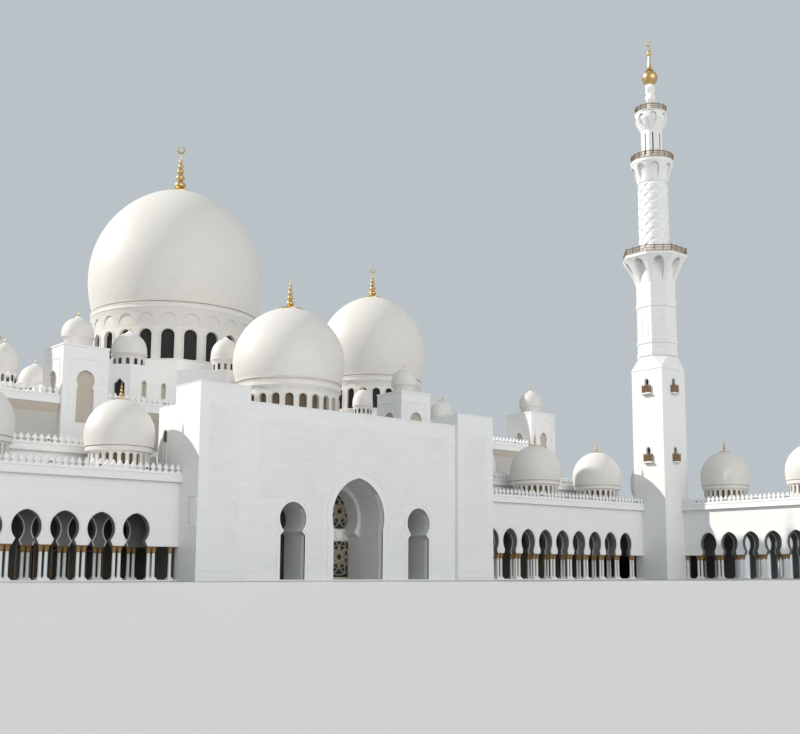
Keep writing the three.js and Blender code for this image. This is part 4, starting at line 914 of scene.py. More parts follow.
def make_columns(side):
    """Columns of a run in both rows, in pairs on shared base blocks and under shared top slabs."""
    run = RUNS[side]
    surface = Surface()
    pairs = pair_places(run)
    every = np.concatenate([pairs - PAIR_HALF, pairs + PAIR_HALF, [run["single"]]])
    column, uv = turned(COLUMN, 16), turned_map(COLUMN, 16)
    column[9:, :, :2] *= (1 + 0.1 * np.cos(8 * np.arange(16) * math.pi / 8))[None, :, None]
    for depth in ROW_DEPTHS:
        spots = clear_of_minaret(run_spots(run, every, depth))
        for kind, part in enumerate((slice(0, 6), slice(5, 8), slice(7, None))):
            surface.add(column[part], kind, spots, joined=kind > 0, uv=uv[part])
        for places, half in ((pairs, 2 * PAIR_HALF), ([run["single"]], PAIR_HALF)):
            spots = clear_of_minaret(run_spots(run, places, depth))
            for out, deep, low, high, kind in COLUMN_BLOCKS if len(spots) else ():
                surface.add(slab(-half - out, half + out, -deep, deep, low, high), kind, spots)
    low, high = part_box(f"{side}_arcade_columns")
    surface.add(slab(low.x, high.x, low.y, high.y, 0.0, 0.02), 3)
    surface.make(f"{side}_columns", "plain inlay capital clad", "marble", f"{side}_arcade_columns")


def make_arcade_arches(side):
    """Smooth linings of the keyhole arches in both rows of a run, darker behind their front edge, and a thin
    roll round each front arch."""
    run = RUNS[side]
    surface = Surface()
    outline = keyhole(bay_arch(run), CAPITAL_TOP + 0.0005, 16)
    spots = run_spots(run, bay_centres(run), 0.0)
    for front, back in WALL_DEPTHS:
        surface.add(lining(outline, 0.002, 0.012, front - 0.003, front + 0.01), 0, spots)
        # Painted shade on the reveal behind the front edge
        surface.add(lining(outline, 0.001, 0.011, front + 0.008, back + 0.003), 1, spots)
    rim = outline - mitres(outline, False) * 0.016
    surface.add(lining(rim, 0.002, 0.0025, -0.005, 0.01), 0, spots)
    surface.make(f"{side}_arch_linings", "plain reveal", "marble")


def make_outer_arches():
    """Linings of the open arches in the outer wall of the return arcade."""
    surface = Surface()
    run = RUNS["return"]
    outline = keyhole(bay_arch(run), FLOOR_TOP, 16)
    surface.add(lining(outline, 0.002, 0.012, 1.107, 1.203), 0, run_spots(run, bay_centres(run), 0.0))
    surface.make("outer_arch_linings", "plain", "marble")


def make_aisle_doors():
    """Dark glass doors in the wall behind the arcades, in a thin frame with a middle stile and a transom."""
    surface = Surface()
    door = round_head(0.12, FLOOR_TOP, 0.56)
    at = np.concatenate([bay_centres(RUNS["left"]), bay_centres(RUNS["right"])[:-1]])
    spots = spots_at(at, AISLE_FRONT)
    surface.add(lining(door, 0.006, 0.008, -0.006, 0.03), 0, spots)
    surface.add(plate(door, 0.02, 0.026), 1, spots)
    for strip in (field(-0.003, 0.003, 0.021, 0.555), field(-0.115, 0.115, 0.40, 0.408)):
        surface.add(plate(strip, 0.016, 0.022), 0, spots)
    surface.make("aisle_doors", "rail glass", "marble")


def make_dome(key):
    """A large dome: bulb on its foot, and a gilded disc with a rim on its seat."""
    x, y, *shape = DOMES[key]
    outer = bulb(shape, 54)
    sides = sizes().dome_sides
    foot, foot_radius = shape[2:4]
    profile = np.concatenate([[(0, foot + 0.001), (foot_radius - 0.02, foot + 0.001)], outer,
                              [(0, outer[-1, 1])]])
    surface = Surface()
    surface.turn(profile, sides, x, y)
    surface.add(turned(gilt_cap(outer, GILT_CAPS[key]), 72, x, y), 1)
    surface.make(f"{key}_dome_marble", "dome gold", "dome_marble", f"{key}_dome")


def ring_wall(surface, drum, x, y, high):
    """Round wall of equal panels with an arched window in each, as one shell, so that its seams close. Gives
    the outline of a window and the spots of all."""
    radius, low, sill, head, half, thick = drum
    angles = turns(WINDOWS_PER_DRUM, DRUM_PHASE)
    outline = round_head(half, sill, head)
    shell = surface.base + surface.width
    for part, grid in pierced(outline, math.pi * radius / WINDOWS_PER_DRUM, low, high, thick).items():
        surface.add(bend(grid, x, y, radius, angles), 0, around=part not in ("top", "foot"),
                    uv=grid[..., [0, 2]])
        surface.shells[-1][:] = shell
    return outline, on_drum(x, y, radius, angles)


def add_panes(surface, outline, spots, depth, kind):
    """Lattice panes: the outline drawn over a small thickness, mapped in metres."""
    pane = plate(outline, depth, depth + 0.006)
    surface.add(pane, kind, spots, uv=pane[..., [0, 2]])


def make_drum(key):
    """Drum of a large dome: pierced wall, window linings, a leaning zone with a scooped niche over each
    window, and the ring with a recess under the dome's foot."""
    x, y, _, _, foot, foot_radius = DOMES[key][:6]
    radius, low, _, head, half, thick = DRUMS[key]
    sides = sizes().dome_sides
    zone, flare = head + 0.03, foot - 0.13
    wide = radius + (0.04 if key == "main" else 0.03)
    surface = Surface()
    outline, spots = ring_wall(surface, DRUMS[key], x, y, zone)
    surface.add(lining(outline, 0.11 * half, 0.014, -0.008, thick, True), 0, spots)
    add_panes(surface, outline, spots, thick * 0.6, 1)
    rise = flare - zone
    lean = [(radius, zone), (radius + 0.2 * (wide - radius), zone + rise * 0.33),
            (radius + 0.55 * (wide - radius), zone + rise * 0.7), (wide, flare)]
    niched_flare(surface, (x, y), lean, (0.74, zone + rise * 0.25, zone + rise * 0.72), WINDOWS_PER_DRUM,
                 phase=DRUM_PHASE, steps=9)
    inner, lip = radius - thick, foot_radius + 0.022
    recess = foot_radius - 0.012
    ring = [(inner, flare), (wide, flare), (wide + 0.009, flare + 0.006), (wide + 0.009, flare + 0.014),
            (wide, flare + 0.02), (wide, foot - 0.058), (wide + 0.006, foot - 0.052),
            (wide + 0.006, foot - 0.042), (wide - 0.002, foot - 0.036), (recess, foot - 0.034),
            (recess, foot - 0.012), (lip, foot - 0.01), (lip + 0.002, foot),
            (foot_radius - 0.002, foot + 0.008), (inner, foot + 0.008), (inner, flare)]
    surface.turn(ring, sides, x, y)
    surface.add(torus(radius, low + 0.02, 0.014, sides, x, y))
    if key == "main":
        plinth = BLOCK_ROOF + 0.0003
        surface.add(carried(cut_square(x, y, 1.8, 0.89), [
            (-0.4, plinth), (0, plinth), (0, low - 0.02), (0.014, low - 0.015), (0.014, low),
            (-0.4, low)]), 2)
    elif key != "portal":
        add_side_block(surface, x, y)
    panes = "bronze_lattice" if key == "portal" else "lattice"
    surface.make(f"{key}_drum_wall", f"dome {panes} clad", "marble", f"{key}_drum")


def add_side_block(surface, x, y):
    """Square block with a flat roof and parapet, and the plinth under the drum."""
    half, low, top = 1.27, HALL_ROOF + 0.0003, SIDE_ROOF
    square = rectangle(-half, half, -half, half) + (x, y)
    surface.add(carried(square, [(-0.12, low), (0, low), (0, top - 0.03), (0.012, top - 0.02), (0.012, top),
                                 (-0.5, top), (-0.5, top - 0.08), (-0.12, top - 0.08)]), 2)
    surface.add(carried(cut_square(x, y, 1.18, 0.66), [
        (-0.24, top - 0.01), (0, top - 0.01), (0, 3.38), (0.01, 3.385), (0.01, 3.4), (-0.24, 3.4)]), 2)


def add_cupola(surface, spots, radius, height, ring_top=None, windows=12):
    """Small dome on a round wall with arched niches, a ring moulding and a gilded spike. The wall ends at
    ring_top, and the dome swells a little above it before it closes."""
    base = ring_top or height * 0.38
    wall = radius * 0.86
    widest = base + (height - base) * 0.12
    t = np.linspace(0, 1, 14)[:-1] * QUARTER
    dome = np.column_stack([radius * np.cos(t), widest + (height - widest) * np.sin(t) ** 0.92])
    low = base - 0.4 * min(base, radius)
    profile = np.concatenate([
        [(0, 0), (wall, 0), (wall, low), (wall + 0.5 * (radius - wall), low + 0.4 * (base - low)),
         (radius, low + 0.7 * (base - low)), (radius * 1.03, low + 0.8 * (base - low)),
         (radius * 1.03, base - 0.004), (radius * 0.99, base)], dome, [(0, height)]])
    surface.add(turned(profile, 32), 0, spots, uv=turned_map(profile, 32))
    beads = [(0.22, radius * 0.085, radius * 0.075), (0.45, radius * 0.06, radius * 0.06)]
    spike = beaded(height * 0.975, height + radius * 0.58, radius * 0.26, beads, radius * 0.05, 16)
    surface.add(turned(spike, 8), 2, spots)
    if windows:
        tall = min(low * 0.8, radius * 0.55)
        niche = plate(round_head(wall * 0.11, low - tall, low * 0.98, 6), -0.003, 0.02)
        for x, y, z, _ in spots:
            surface.add(niche, 1, on_drum(x, y, wall, turns(windows), z), uv=niche[..., [0, 2]])


def make_cupolas():
    """Small domes on the upper block, the side blocks and the towers, and the turrets on the hall roof."""
    surface = Surface()
    for x, y, radius in ((1.85, 3.35, 0.284), (0.44, 2.7, 0.244)):
        spots = [(sx * x, CENTRE_Y + sy * (CENTRE_Y - y), BLOCK_ROOF, 0) for sx in (-1, 1) for sy in (-1, 1)]
        add_cupola(surface, spots, radius, 0.576)
    corner = 1.08
    side = [(cx + dx, CENTRE_Y + dy, SIDE_ROOF, 0) for cx in (-SIDE_X, SIDE_X) for dx in (-corner, corner)
            for dy in (-corner, corner)]
    add_cupola(surface, side, 0.204, 0.524)
    turrets = [(sign * 4.177, 2.518, HALL_ROOF, 0) for sign in (-1, 1)]
    add_cupola(surface, turrets, 0.208, 0.85, 0.475, 16)
    for name, top in TOWERS.items():
        low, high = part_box(name)
        add_cupola(surface, [((low.x + high.x) / 2, (low.y + high.y) / 2, top, 0)], 0.236, 0.474, windows=0)
    surface.make("cupolas", "dome glass gold", "dome_marble")


def make_finial(key):
    """Gilded finial: a flared foot, five beads that get smaller and a spike, with a ring crescent."""
    x, y = DOMES[key][:2]
    low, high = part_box(f"{key}_finial")
    unit = high.z - low.z
    moon = 0.0 if key == "portal" else 0.2
    crest = high.z + (0.045 if key == "main" else 0.0)
    top = crest - unit * moon
    tall = top - low.z
    beads = [(0.19, unit * 0.115, tall * 0.1), (0.38, unit * 0.09, tall * 0.085),
             (0.54, unit * 0.072, tall * 0.072), (0.68, unit * 0.054, tall * 0.06),
             (0.8, unit * 0.036, tall * 0.045)]
    surface = Surface()
    surface.add(turned(beaded(low.z, top, DOMES[key][7], beads, unit * 0.042), 24, x, y))
    if moon:
        surface.add(crescent(x, y, top - 0.004, unit * 0.084, unit * 0.019))
    surface.make(f"{key}_finial_gilt", "gold", "gold", f"{key}_finial")


def make_arcade_dome(name):
    """Arcade dome: round wall with windows, a stepped ring, a recess under the bulb, and a gilded finial."""
    low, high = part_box(name)
    x, y = (low.x + high.x) / 2, (low.y + high.y) / 2
    radius, _, _, head, _, thick = ARCADE_DRUM
    foot, foot_radius = ARCADE_DOME[2:4]
    surface = Surface()
    top = head + 0.01
    outline, spots = ring_wall(surface, ARCADE_DRUM, x, y, top)
    surface.add(lining(outline, 0.0, 0.004, -0.003, 0.01, True), 0, spots)
    add_panes(surface, outline, spots, 0.036, 1)
    inner, band, lip = radius - thick, foot_radius - 0.004, foot_radius + 0.006
    ring = [(inner, top), (radius, top), (radius + 0.008, top + 0.003), (band - 0.012, top + 0.014),
            (band, top + 0.019), (band + 0.003, top + 0.026), (band - 0.004, top + 0.03),
            (band - 0.002, foot - 0.02), (band - 0.002, foot - 0.017), (foot_radius - 0.022, foot - 0.016),
            (foot_radius - 0.022, foot - 0.005), (lip, foot - 0.004), (lip + 0.001, foot + 0.003),
            (foot_radius - 0.001, foot + 0.006), (inner, foot + 0.006), (inner, top)]
    outer = bulb(ARCADE_DOME, 28)
    seat = outer[-1, 1]
    profile = np.concatenate([[(0, foot - 0.001), (foot_radius - 0.01, foot - 0.001)], outer, [(0, seat)]])
    for shape in (ring, profile):
        surface.turn(shape, 64, x, y)
    surface.add(turned(gilt_cap(outer, 0.095, 0.011), 32, x, y), 2)
    beads = [(0.27, 0.027, 0.028), (0.48, 0.02, 0.022), (0.65, 0.014, 0.017)]
    surface.add(turned(beaded(seat, high.z + 0.01, 0.055, beads, 0.01, 40), 12, x, y), 2)
    surface.make(f"{name}_marble", "dome bronze_lattice gold", "dome_marble", name)


def merlon():
    """Outline of a merlon: a pointed spade on a narrow waist and a broad foot."""
    return mirrored(np.array([(0.034, 0.0), (0.034, 0.1), (0.017, 0.2), (0.016, 0.27), (0.035, 0.45),
                              (0.030, 0.57), (0.010, 0.86), (0.0, 1.0)]) * (1, sizes().merlon))


def merlon_row(surface, start, end, z, inset):
    """Merlons from start to end, set in from the edge on its left, at the pitch that fits a whole number, and
    a small round lamp before every seventh."""
    start = np.array(start, float)
    way = end - start
    length = float(np.hypot(*way))
    count = max(int(round(length / sizes().merlon_pitch)), 1)
    way /= length
    share = (np.arange(count) + 0.5) * length / count
    places = start + way * share[:, None] + np.array([-way[1], way[0]]) * inset
    spots = spots_at(*places.T, z, math.atan2(way[1], way[0]))
    surface.add(plate(merlon(), -0.011, 0.011), 0, spots)
    surface.add(plate(circle(0.012, 12, 0.0, 0.036), -0.02, -0.01), 1, spots[3::7])


def make_parapets():
    """Rolls under the cornices, upstands and rows of merlons along every flat roof, and a warm band under
    the hall's front cornice."""
    surface = Surface()
    face, outer, far, side = RETURN_FACE, RETURN_OUTER, RETURN_END, HALL_SIDE
    portal, back = PYLON_SIDES[1] + 0.001, 1.29
    minaret = MINARET[0] - MINARET_HALF
    arcade = [((LEFT_END, 0), (-portal, 0)), ((portal, 0), (minaret, 0)), ((face, -0.551), (face, far))]
    rim = [((outer, far), (outer, back)), ((outer, back), (6.935, back)), ((face, far), (outer, far))]
    aisle = [((-side, AISLE_FRONT), (-portal, AISLE_FRONT)), ((portal, AISLE_FRONT), (side, AISLE_FRONT)),
             ((side, 1.25), (side, 2.0)), ((-side, 2.0), (-side, 1.25))]
    hall = [((x0, HALL_FRONT), (x1, HALL_FRONT)) for x0, x1 in (
        (-6.22, -3.53), (-2.81, -0.9), (0.9, 2.81), (3.53, 6.22))]
    hall += [((side, 2.72), (side, HALL_REAR)), ((side, HALL_REAR), (-side, HALL_REAR)),
             ((-side, HALL_REAR), (-side, 2.72))]
    for paths, base, top, proud in ((arcade, 1.30, 1.415, 0.05), (rim, 1.30, 1.415, 0.0),
                                    (aisle, 1.72, 1.825, 0.05), (hall, 2.515, 2.64, 0.05)):
        for path in paths:
            for height, size in ((base + 0.008, 0.009), (top - 0.012, 0.007)):
                surface.add(carried(path, roll(proud + 0.001, height, size, 6), False))
            surface.add(carried(path, bar(proud - 0.012, top, top + 0.012, proud - 0.05), False))
            merlon_row(surface, *path, top + 0.011, 0.03 - proud)
    # Painted shade: the cove under the hall's front cornice takes the warm niche tone
    cove = [(-0.02, 2.39), (0.002, 2.39), (0.046, 2.505), (0.046, 2.5145), (-0.02, 2.5145)]
    for path in hall[:4]:
        surface.add(carried(path, cove, False), 2)
    surface.make("parapets", "plain glass niche", "marble")


def make_portal_frames():
    """Raised bands and rolls round the three portal arches and the inner arch, and thin string courses."""
    surface = Surface()
    for arch, x in ((CENTRE_ARCH, 0), (SIDE_ARCH, -SIDE_ARCH_X), (SIDE_ARCH, SIDE_ARCH_X)):
        wide, sag = (0.085, 0.009) if x == 0 else (0.045, 0.005)
        reaches = (-sag, 0.012, wide, wide - 0.004, wide + 0.005)
        line, near, far, *rim = (keyhole(grown(arch, by), FLOOR_TOP, 24) for by in reaches)
        # Linings deep in the side and middle tunnels take the hall's painted shade
        for outlines, front, back, kind in (((line, near), -0.006, 0.11, 0), ((line, near), 0.105, 0.568, 1),
                                            ((line, far), -0.004, 0.02, 0), (rim, -0.01, 0.02, 0)):
            surface.add(framed(*outlines, front, back), kind, [(x, PORTAL_FRONT, 0, 0)])
    inner, outer = (keyhole(grown(INNER_ARCH, by), FLOOR_TOP, 24) for by in (-0.008, 0.012))
    # The inner arch's frame takes the hall's painted shade
    surface.add(framed(inner, outer, -0.001, 0.27), 1, [(0, 0.16, 0, 0)])
    left, right = PYLON_SIDES
    gap = 0.27
    for z, size in ((0.145, 0.004), (0.052, 0.006)):
        for x0, x1 in ((-left, -SIDE_ARCH_X - gap), (gap - SIDE_ARCH_X, -0.556), (0.556, SIDE_ARCH_X - gap),
                       (SIDE_ARCH_X + gap, left)):
            surface.add(carried([(x0, PORTAL_FRONT), (x1, PORTAL_FRONT)], roll(0.0, z, size, 6), False))
        for sign in (-1, 1):
            surface.add(carried(pylon_path(sign, [(right, -0.001)]), roll(0.0, z, size, 6), False))
    for sign in (-1, 1):
        path = pylon_path(sign, [(right, 0.19), (left, 0.19)])
        surface.add(carried(path, bar(0.006, 2.618, 2.632, -0.03), False))
    front = [(-left, PORTAL_FRONT), (left, PORTAL_FRONT)]
    surface.add(carried(front, bar(0.006, 2.428, 2.442, -0.03), False))
    surface.make("portal_frames", "plain hall", "marble")


def pylon_path(sign, rest):
    """Path round the front of a pylon and on, counterclockwise on either side of the portal."""
    left, right = PYLON_SIDES
    path = [(left, PORTAL_FRONT), (left, PYLON_FRONT), (right, PYLON_FRONT)] + rest
    return np.array(path[::sign]) * (sign, 1)


def make_pylon_sides():
    """Outer side of each pylon: an arched window over a blind slot, and a louvred panel near the front."""
    surface = Surface()
    window = round_head(0.05, 1.885, 2.055, 8)
    slot = field(-0.05, 0.05, 1.58, 1.865)
    for sign in (-1, 1):
        spot = [(sign * PYLON_SIDES[1], 0.449, 0, sign * QUARTER)]
        louvre = [(sign * PYLON_SIDES[1], -0.345, 0, sign * QUARTER)]
        surface.add(lining(window, 0.008, 0.006, -0.006, 0.01, True), 2, spot)
        add_panes(surface, window, spot, -0.003, 1)
        surface.add(lining(slot, 0.002, 0.004, -0.005, 0.01, True), 0, spot)
        surface.add(plate(field(-0.09, 0.09, 0.7, 1.1), -0.008, 0.01), 0, louvre)
        surface.add(plate(field(-0.1, 0.1, 1.1, 1.112), -0.022, 0.01), 0, louvre)
        for z in 0.74 + np.arange(14) * 0.025:
            surface.add(plate(field(-0.085, -0.05, z, z + 0.01), -0.0095, 0.0), 2, louvre)
    surface.make("pylon_side_work", "plain glass niche", "marble")


def make_side_doors():
    """Dark glass doors at the end of the two side passages of the portal."""
    surface = Surface()
    half, high = SIDE_ARCH[4] + 0.004, SIDE_ARCH[6] + 0.004
    for x in (-SIDE_ARCH_X, SIDE_ARCH_X):
        surface.add(slab(x - half, x + half, 0.10, 0.11, FLOOR_TOP, high))
        for bar_x in (x - 0.075, x, x + 0.075):
            surface.add(slab(bar_x - 0.002, bar_x + 0.002, 0.095, 0.1, FLOOR_TOP, high), 1)
    surface.make("side_doors", "glass rail", "screen_glass")


def rosette(radius, petals, turn):
    """Pointed petals about a centre: each is two arcs, w = half width times the sine of the way out."""
    t = np.linspace(0, 1, 11)
    paths = []
    for a in turn + np.arange(petals) * 2 * math.pi / petals:
        out = radius * t
        for side in (-1, 1):
            w = side * radius * 0.2 * np.sin(math.pi * t) ** 0.8
            paths.append(np.column_stack([out * math.cos(a) - w * math.sin(a),
                                          out * math.sin(a) + w * math.cos(a)]))
    return paths


def make_screen():
    """Entrance screen: dark glass with flowers of pale gold lines in two storeys, a pale transom between."""
    low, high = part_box("entrance_screen")
    surface = Surface()
    surface.add(slab(low.x, high.x, low.y + 0.008, high.y, low.z, high.z))
    front, back = low.y + 0.001, low.y + 0.009
    surface.add(slab(low.x, high.x, front + 0.002, back, 0.6, 0.78), 2)
    unit = 0.27
    for cx, cz in ((cx, cz) for cx in (-0.28, 0.28) for cz in (0.36, 1.05)):
        for size, turn, half in ((1.0, math.pi / 8, 0.0042), (0.62, 0.0, 0.0036), (0.36, math.pi / 8, 0.003)):
            for path in rosette(unit * size, 8, turn):
                surface.add(lining(path + (cx, cz), half, half, front, back), 1)
        for radius in (unit * 0.14, unit * 0.66, unit * 1.02):
            surface.add(lining(circle(radius, 40, cx, cz)[::-1], 0.003, 0.003, front, back, True), 1)
    for cx in (-0.42, -0.28, -0.14, 0.0, 0.14, 0.28, 0.42):
        surface.add(lining(circle(0.08, 32, cx, 0.69)[::-1], 0.003, 0.003, front - 0.0005, back, True), 1)
    for x in (-0.455, 0.0, 0.455):
        surface.add(slab(x - 0.005, x + 0.005, front, back, low.z, high.z), 1)
    for z0, z1 in ((0.02, 0.05), (0.594, 0.603), (0.777, 0.786)):
        surface.add(slab(low.x, high.x, front - 0.0005, back, z0, z1), 1)
    surface.make("screen_tracery", "glass tracery plain", "screen_glass", "entrance_screen")


def make_window_panes():
    """Lattice panes and linings of the hall's windows, and frames of the tower niches. The niches of the
    outer towers are narrowed by a band of wall inside the cut one."""
    surface = Surface()
    arch = round_head(0.11, 0.7, 1.5)
    sides = 5.555 + (np.arange(5) - 2) * 0.96
    spots = np.concatenate([spots_at((np.arange(14) - 6.5) * 0.96, HALL_REAR, 0, math.pi)]
                           + [spots_at(sign * HALL_SIDE, sides, 0, sign * QUARTER) for sign in (-1, 1)])
    surface.add(lining(arch, 0.006, 0.012, -0.006, 0.125, True), 0, spots)
    add_panes(surface, arch, spots, 0.06, 1)
    cut, covered, narrow = (keyhole(niche, 2.26, 12) for niche in (TOWER_NICHE, grown(TOWER_NICHE, 0.012),
                                                                  OUTER_NICHE))
    for name, top in TOWERS.items():
        low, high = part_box(name)
        spots = four_faces(low.x, high.x, low.y, high.y)
        niche = narrow if name.startswith("outer") else cut
        if name.startswith("outer"):
            surface.add(framed(niche, covered, -0.001, 0.044, True), 3, spots)
        surface.add(lining(niche, 0.003, 0.01, -0.004, 0.044, True), 0, spots)
        surface.add(plate(niche, 0.037, 0.044), 2, spots)
        surface.add(lining(field(-0.24, 0.24, 2.2, 3.2), 0.004, 0.004, -0.006, 0.01), 0, spots)
        plan = rectangle(low.x, high.x, low.y, high.y)
        surface.add(carried(plan, bar(0.008, top - 0.02, top + 0.006, -0.03)))
    surface.make("window_work", "plain lattice niche clad", "marble")


def make_block_windows():
    """Windows of the upper block: one wide one in each cut corner, and narrow ones with a pale lattice. Those
    in slanting faces stand at 45 degrees to the front or the rear."""
    surface = Surface()
    wide = ((2.115, 3.11, 0.5),)
    narrow = ((1.75, 2.985, 0), (1.405, 2.985, 0), (1.072, 2.887, 0.5), (0.877, 2.692, 0.5),
              (0.682, 2.497, 0.5))
    for kind, half, head, places in ((1, 0.092, 3.19, wide), (2, 0.045, 3.18, narrow)):
        spots = []
        for x, y, slant in places:
            for sx in (-1, 1):
                spots.append((sx * x, y, 0, sx * slant * QUARTER))
                spots.append((sx * x, 2 * CENTRE_Y - y, 0, math.pi - sx * slant * QUARTER))
        arch = round_head(half, 2.9, head, 8)
        surface.add(lining(arch, 0.003, 0.012, -0.006, 0.124, True), 0, spots)
        add_panes(surface, arch, spots, 0.05, kind)
    surface.make("block_windows", "plain lattice pale_lattice", "marble")


# Minaret

def railing(surface, plan, z, closed, height, pitch, gap):
    """A dense bronze railing along a plan: three rails, thin balusters at the pitch, and posts with balls at
    the gap."""
    plan = np.asarray(plan, float)
    for share, size in ((0.9, 0.008), (0.1, 0.006), (0.5, 0.004)):
        surface.add(carried(plan, roll(0.0, z + height * share, size, 6), closed), 1)
    loop = np.concatenate([plan, plan[:1]]) if closed else plan
    run = np.concatenate([[0], np.cumsum(np.hypot(*np.diff(loop, axis=0).T))])

    def along(count, shift):
        distance = (np.arange(count) + shift) * run[-1] / (count if closed or shift else count - 1)
        return spots_at(*(np.interp(distance, run, loop[:, k]) for k in (0, 1)), z)

    surface.add(prism(circle(0.0042, 4), 0.0, height * 0.9), 1, along(int(run[-1] / pitch), 0.5))
    post = [(0, 0), (0.011, 0), (0.008, 0.02), (0.008, height * 0.88), (0.012, height * 0.93),
            (0.006, height * 0.97), (0.009, height * 1.03), (0.004, height * 1.09), (0, height * 1.1)]
    surface.add(turned(post, 6), 1, along(int(run[-1] / gap) + (not closed), 0.0))


def niched_flare(surface, centre, profile, arch, count=8, flat=False, phase=0.0, foot=None, depth=1.0,
                 steps=15):
    """Flare of a shaft with a niche on each side of its plan. Across a side the wall stands at the profile's
    reach, and drops back by the depth, at most to the upright shaft, where the point lies inside the arch,
    whose half width at each height is half * sqrt(1 - rise^2), and which closes in a flat curve above its
    foot where one is given. The last columns on both sides of the arch's edge stand close together, so that
    the niche's jambs are nearly square. flat says whether the plan is a polygon."""
    half, spring, head = arch
    base, low = profile[0]
    heights = np.unique(np.concatenate([
        np.linspace(low, profile[-1][1], 20), head - (head - spring) * np.linspace(0, 1, 8) ** 2,
        [head - 0.001, head + 0.001]]))[:, None]
    out = np.interp(heights, [p[1] for p in profile], [p[0] for p in profile])
    rise = np.clip((heights - spring) / (head - spring), 0, 1)
    width = np.where(heights > head, 0.0, half * np.sqrt(1 - rise ** 2))
    if foot is not None:
        fall = np.clip((spring - heights) / (spring - foot), 0, 1)
        width = np.where(heights < foot, 0.0, width * np.sqrt(1 - fall ** 4))
    edge = np.clip(width, 0.02, None)
    inner = np.linspace(-1, 1, steps)[None] * (edge - 0.012)
    left = np.concatenate([np.full((len(heights), 1), -1.0), -(1 + edge) / 2, -edge], 1)
    across = np.concatenate([left, inner, -left[:, ::-1]], 1)[:, :-1]
    hollow = (np.abs(across) < width - 0.006) & (width > 0.03)
    reach = np.where(hollow, np.maximum(base + 0.001, out - depth), out)
    angle = math.pi / count
    turn = np.arctan(across * math.tan(angle)) if flat else across * angle
    if flat:
        reach = reach / np.cos(turn)
    turn = turn[:, None, :] + np.arange(count)[None, :, None] * 2 * angle + phase
    reach = np.broadcast_to(reach[:, None, :], turn.shape).reshape(len(heights), -1)
    surface.add(capped(polar(reach, turn.reshape(len(heights), -1), heights, *centre)))


def make_minaret_base():
    """Balconies on the square shaft: star slabs, railings, arched doors, and thin lines round the faces."""
    surface = Surface()
    x, y = MINARET
    half = MINARET_HALF
    faces = four_faces(x - half, x + half, y - half, y + half)
    star = circle(1.0, 16) * np.where(np.arange(16) % 2 == 0, 1.0, 0.8)[:, None]
    sections = np.stack([level(star * (size, size * 0.8) + (0, 0.01), z)
                         for z, size in ((-0.034, 0.07), (-0.022, 0.1), (-0.006, 0.108), (0.0, 0.106))])
    plan = [(-0.09, 0.0), (-0.094, -0.03), (-0.062, -0.068), (0.062, -0.068), (0.094, -0.03), (0.09, 0.0)]
    arch = round_head(0.05, 0.002, 0.29, 12)
    hood = round_head(0.074, 0.12, 0.33, 12, 1.3)[1:-1]
    for height in BALCONY_LEVELS:
        spots = faces + (0, 0, height, 0)
        surface.add(capped(sections), 0, spots)
        for path in stand(level(plan, 0.0)[None], faces)[:, 0, :, :2]:
            railing(surface, path, height, False, 0.145, 0.011, 0.062)
        surface.add(lining(arch, 0.001, 0.012, -0.006, 0.08), 0, spots)
        surface.add(lining(hood, 0.003, 0.003, -0.004, 0.01), 0, spots)
        add_panes(surface, arch, spots, 0.05, 2)
    for low, high in ((0.2, 2.0), (2.72, 3.42), (3.9, 4.0)):
        surface.add(lining(field(-0.3, 0.3, low, high), 0.0025, 0.0025, -0.0025, 0.01, True), 0, faces)
    square = rectangle(-half, half, -half, half) + (x, y)
    surface.add(carried(square, bar(0.007, 4.022, 4.036, -0.02)))
    surface.make("minaret_balconies", "plain rail glass", "marble")


def make_minaret_octagon():
    """Foot with sloping corners, octagonal shaft with bands and blind arches, niched flare and gallery."""
    surface = Surface()
    x, y = MINARET
    half = MINARET_HALF
    low, flare, rim, top = 4.285, 5.757, 6.24, GALLERIES["first"]
    corner = half * (2 - math.sqrt(2))
    foot = [level(cut_square(x, y, half, cut), z) for z, cut in ((4.0403, 0.0005), (low, corner))]
    surface.add(capped(np.stack(foot)))
    profile = [(-0.08, low - 0.003), (0, low - 0.003)]
    for z0, z1 in ((low, 4.38), (4.535, 4.63), (5.26, 5.385)):
        profile += [(0, z0), (0.012, z0 + 0.005), (0.012, z1 - 0.005), (0, z1)]
    surface.add(carried(octagon(half, x, y), profile + [(0, flare), (-0.08, flare)]))
    spots = on_drum(x, y, half, turns(8))
    surface.add(lining(round_head(0.07, 4.68, 5.2, 14, 1.15), 0.004, 0.004, -0.005, 0.01, True), 0, spots)
    lean = [(half, flare - 0.002), (half, flare), (half + 0.06, 5.94), (half + 0.15, 6.12),
            (0.595, rim + 0.002)]
    niched_flare(surface, MINARET, lean, (0.62, 5.98, 6.215), flat=True)
    surface.add(carried(octagon(0.6, x, y), [(-0.3, rim), (0, rim), (0, top - 0.014), (0.005, top - 0.01),
                                             (0.005, top), (-0.3, top)]), 0)
    railing(surface, octagon(0.585, x, y), top, True, 0.135, 0.02, 0.16)
    surface.make("minaret_octagon_shaft", "clad rail", "marble", "minaret_octagon")


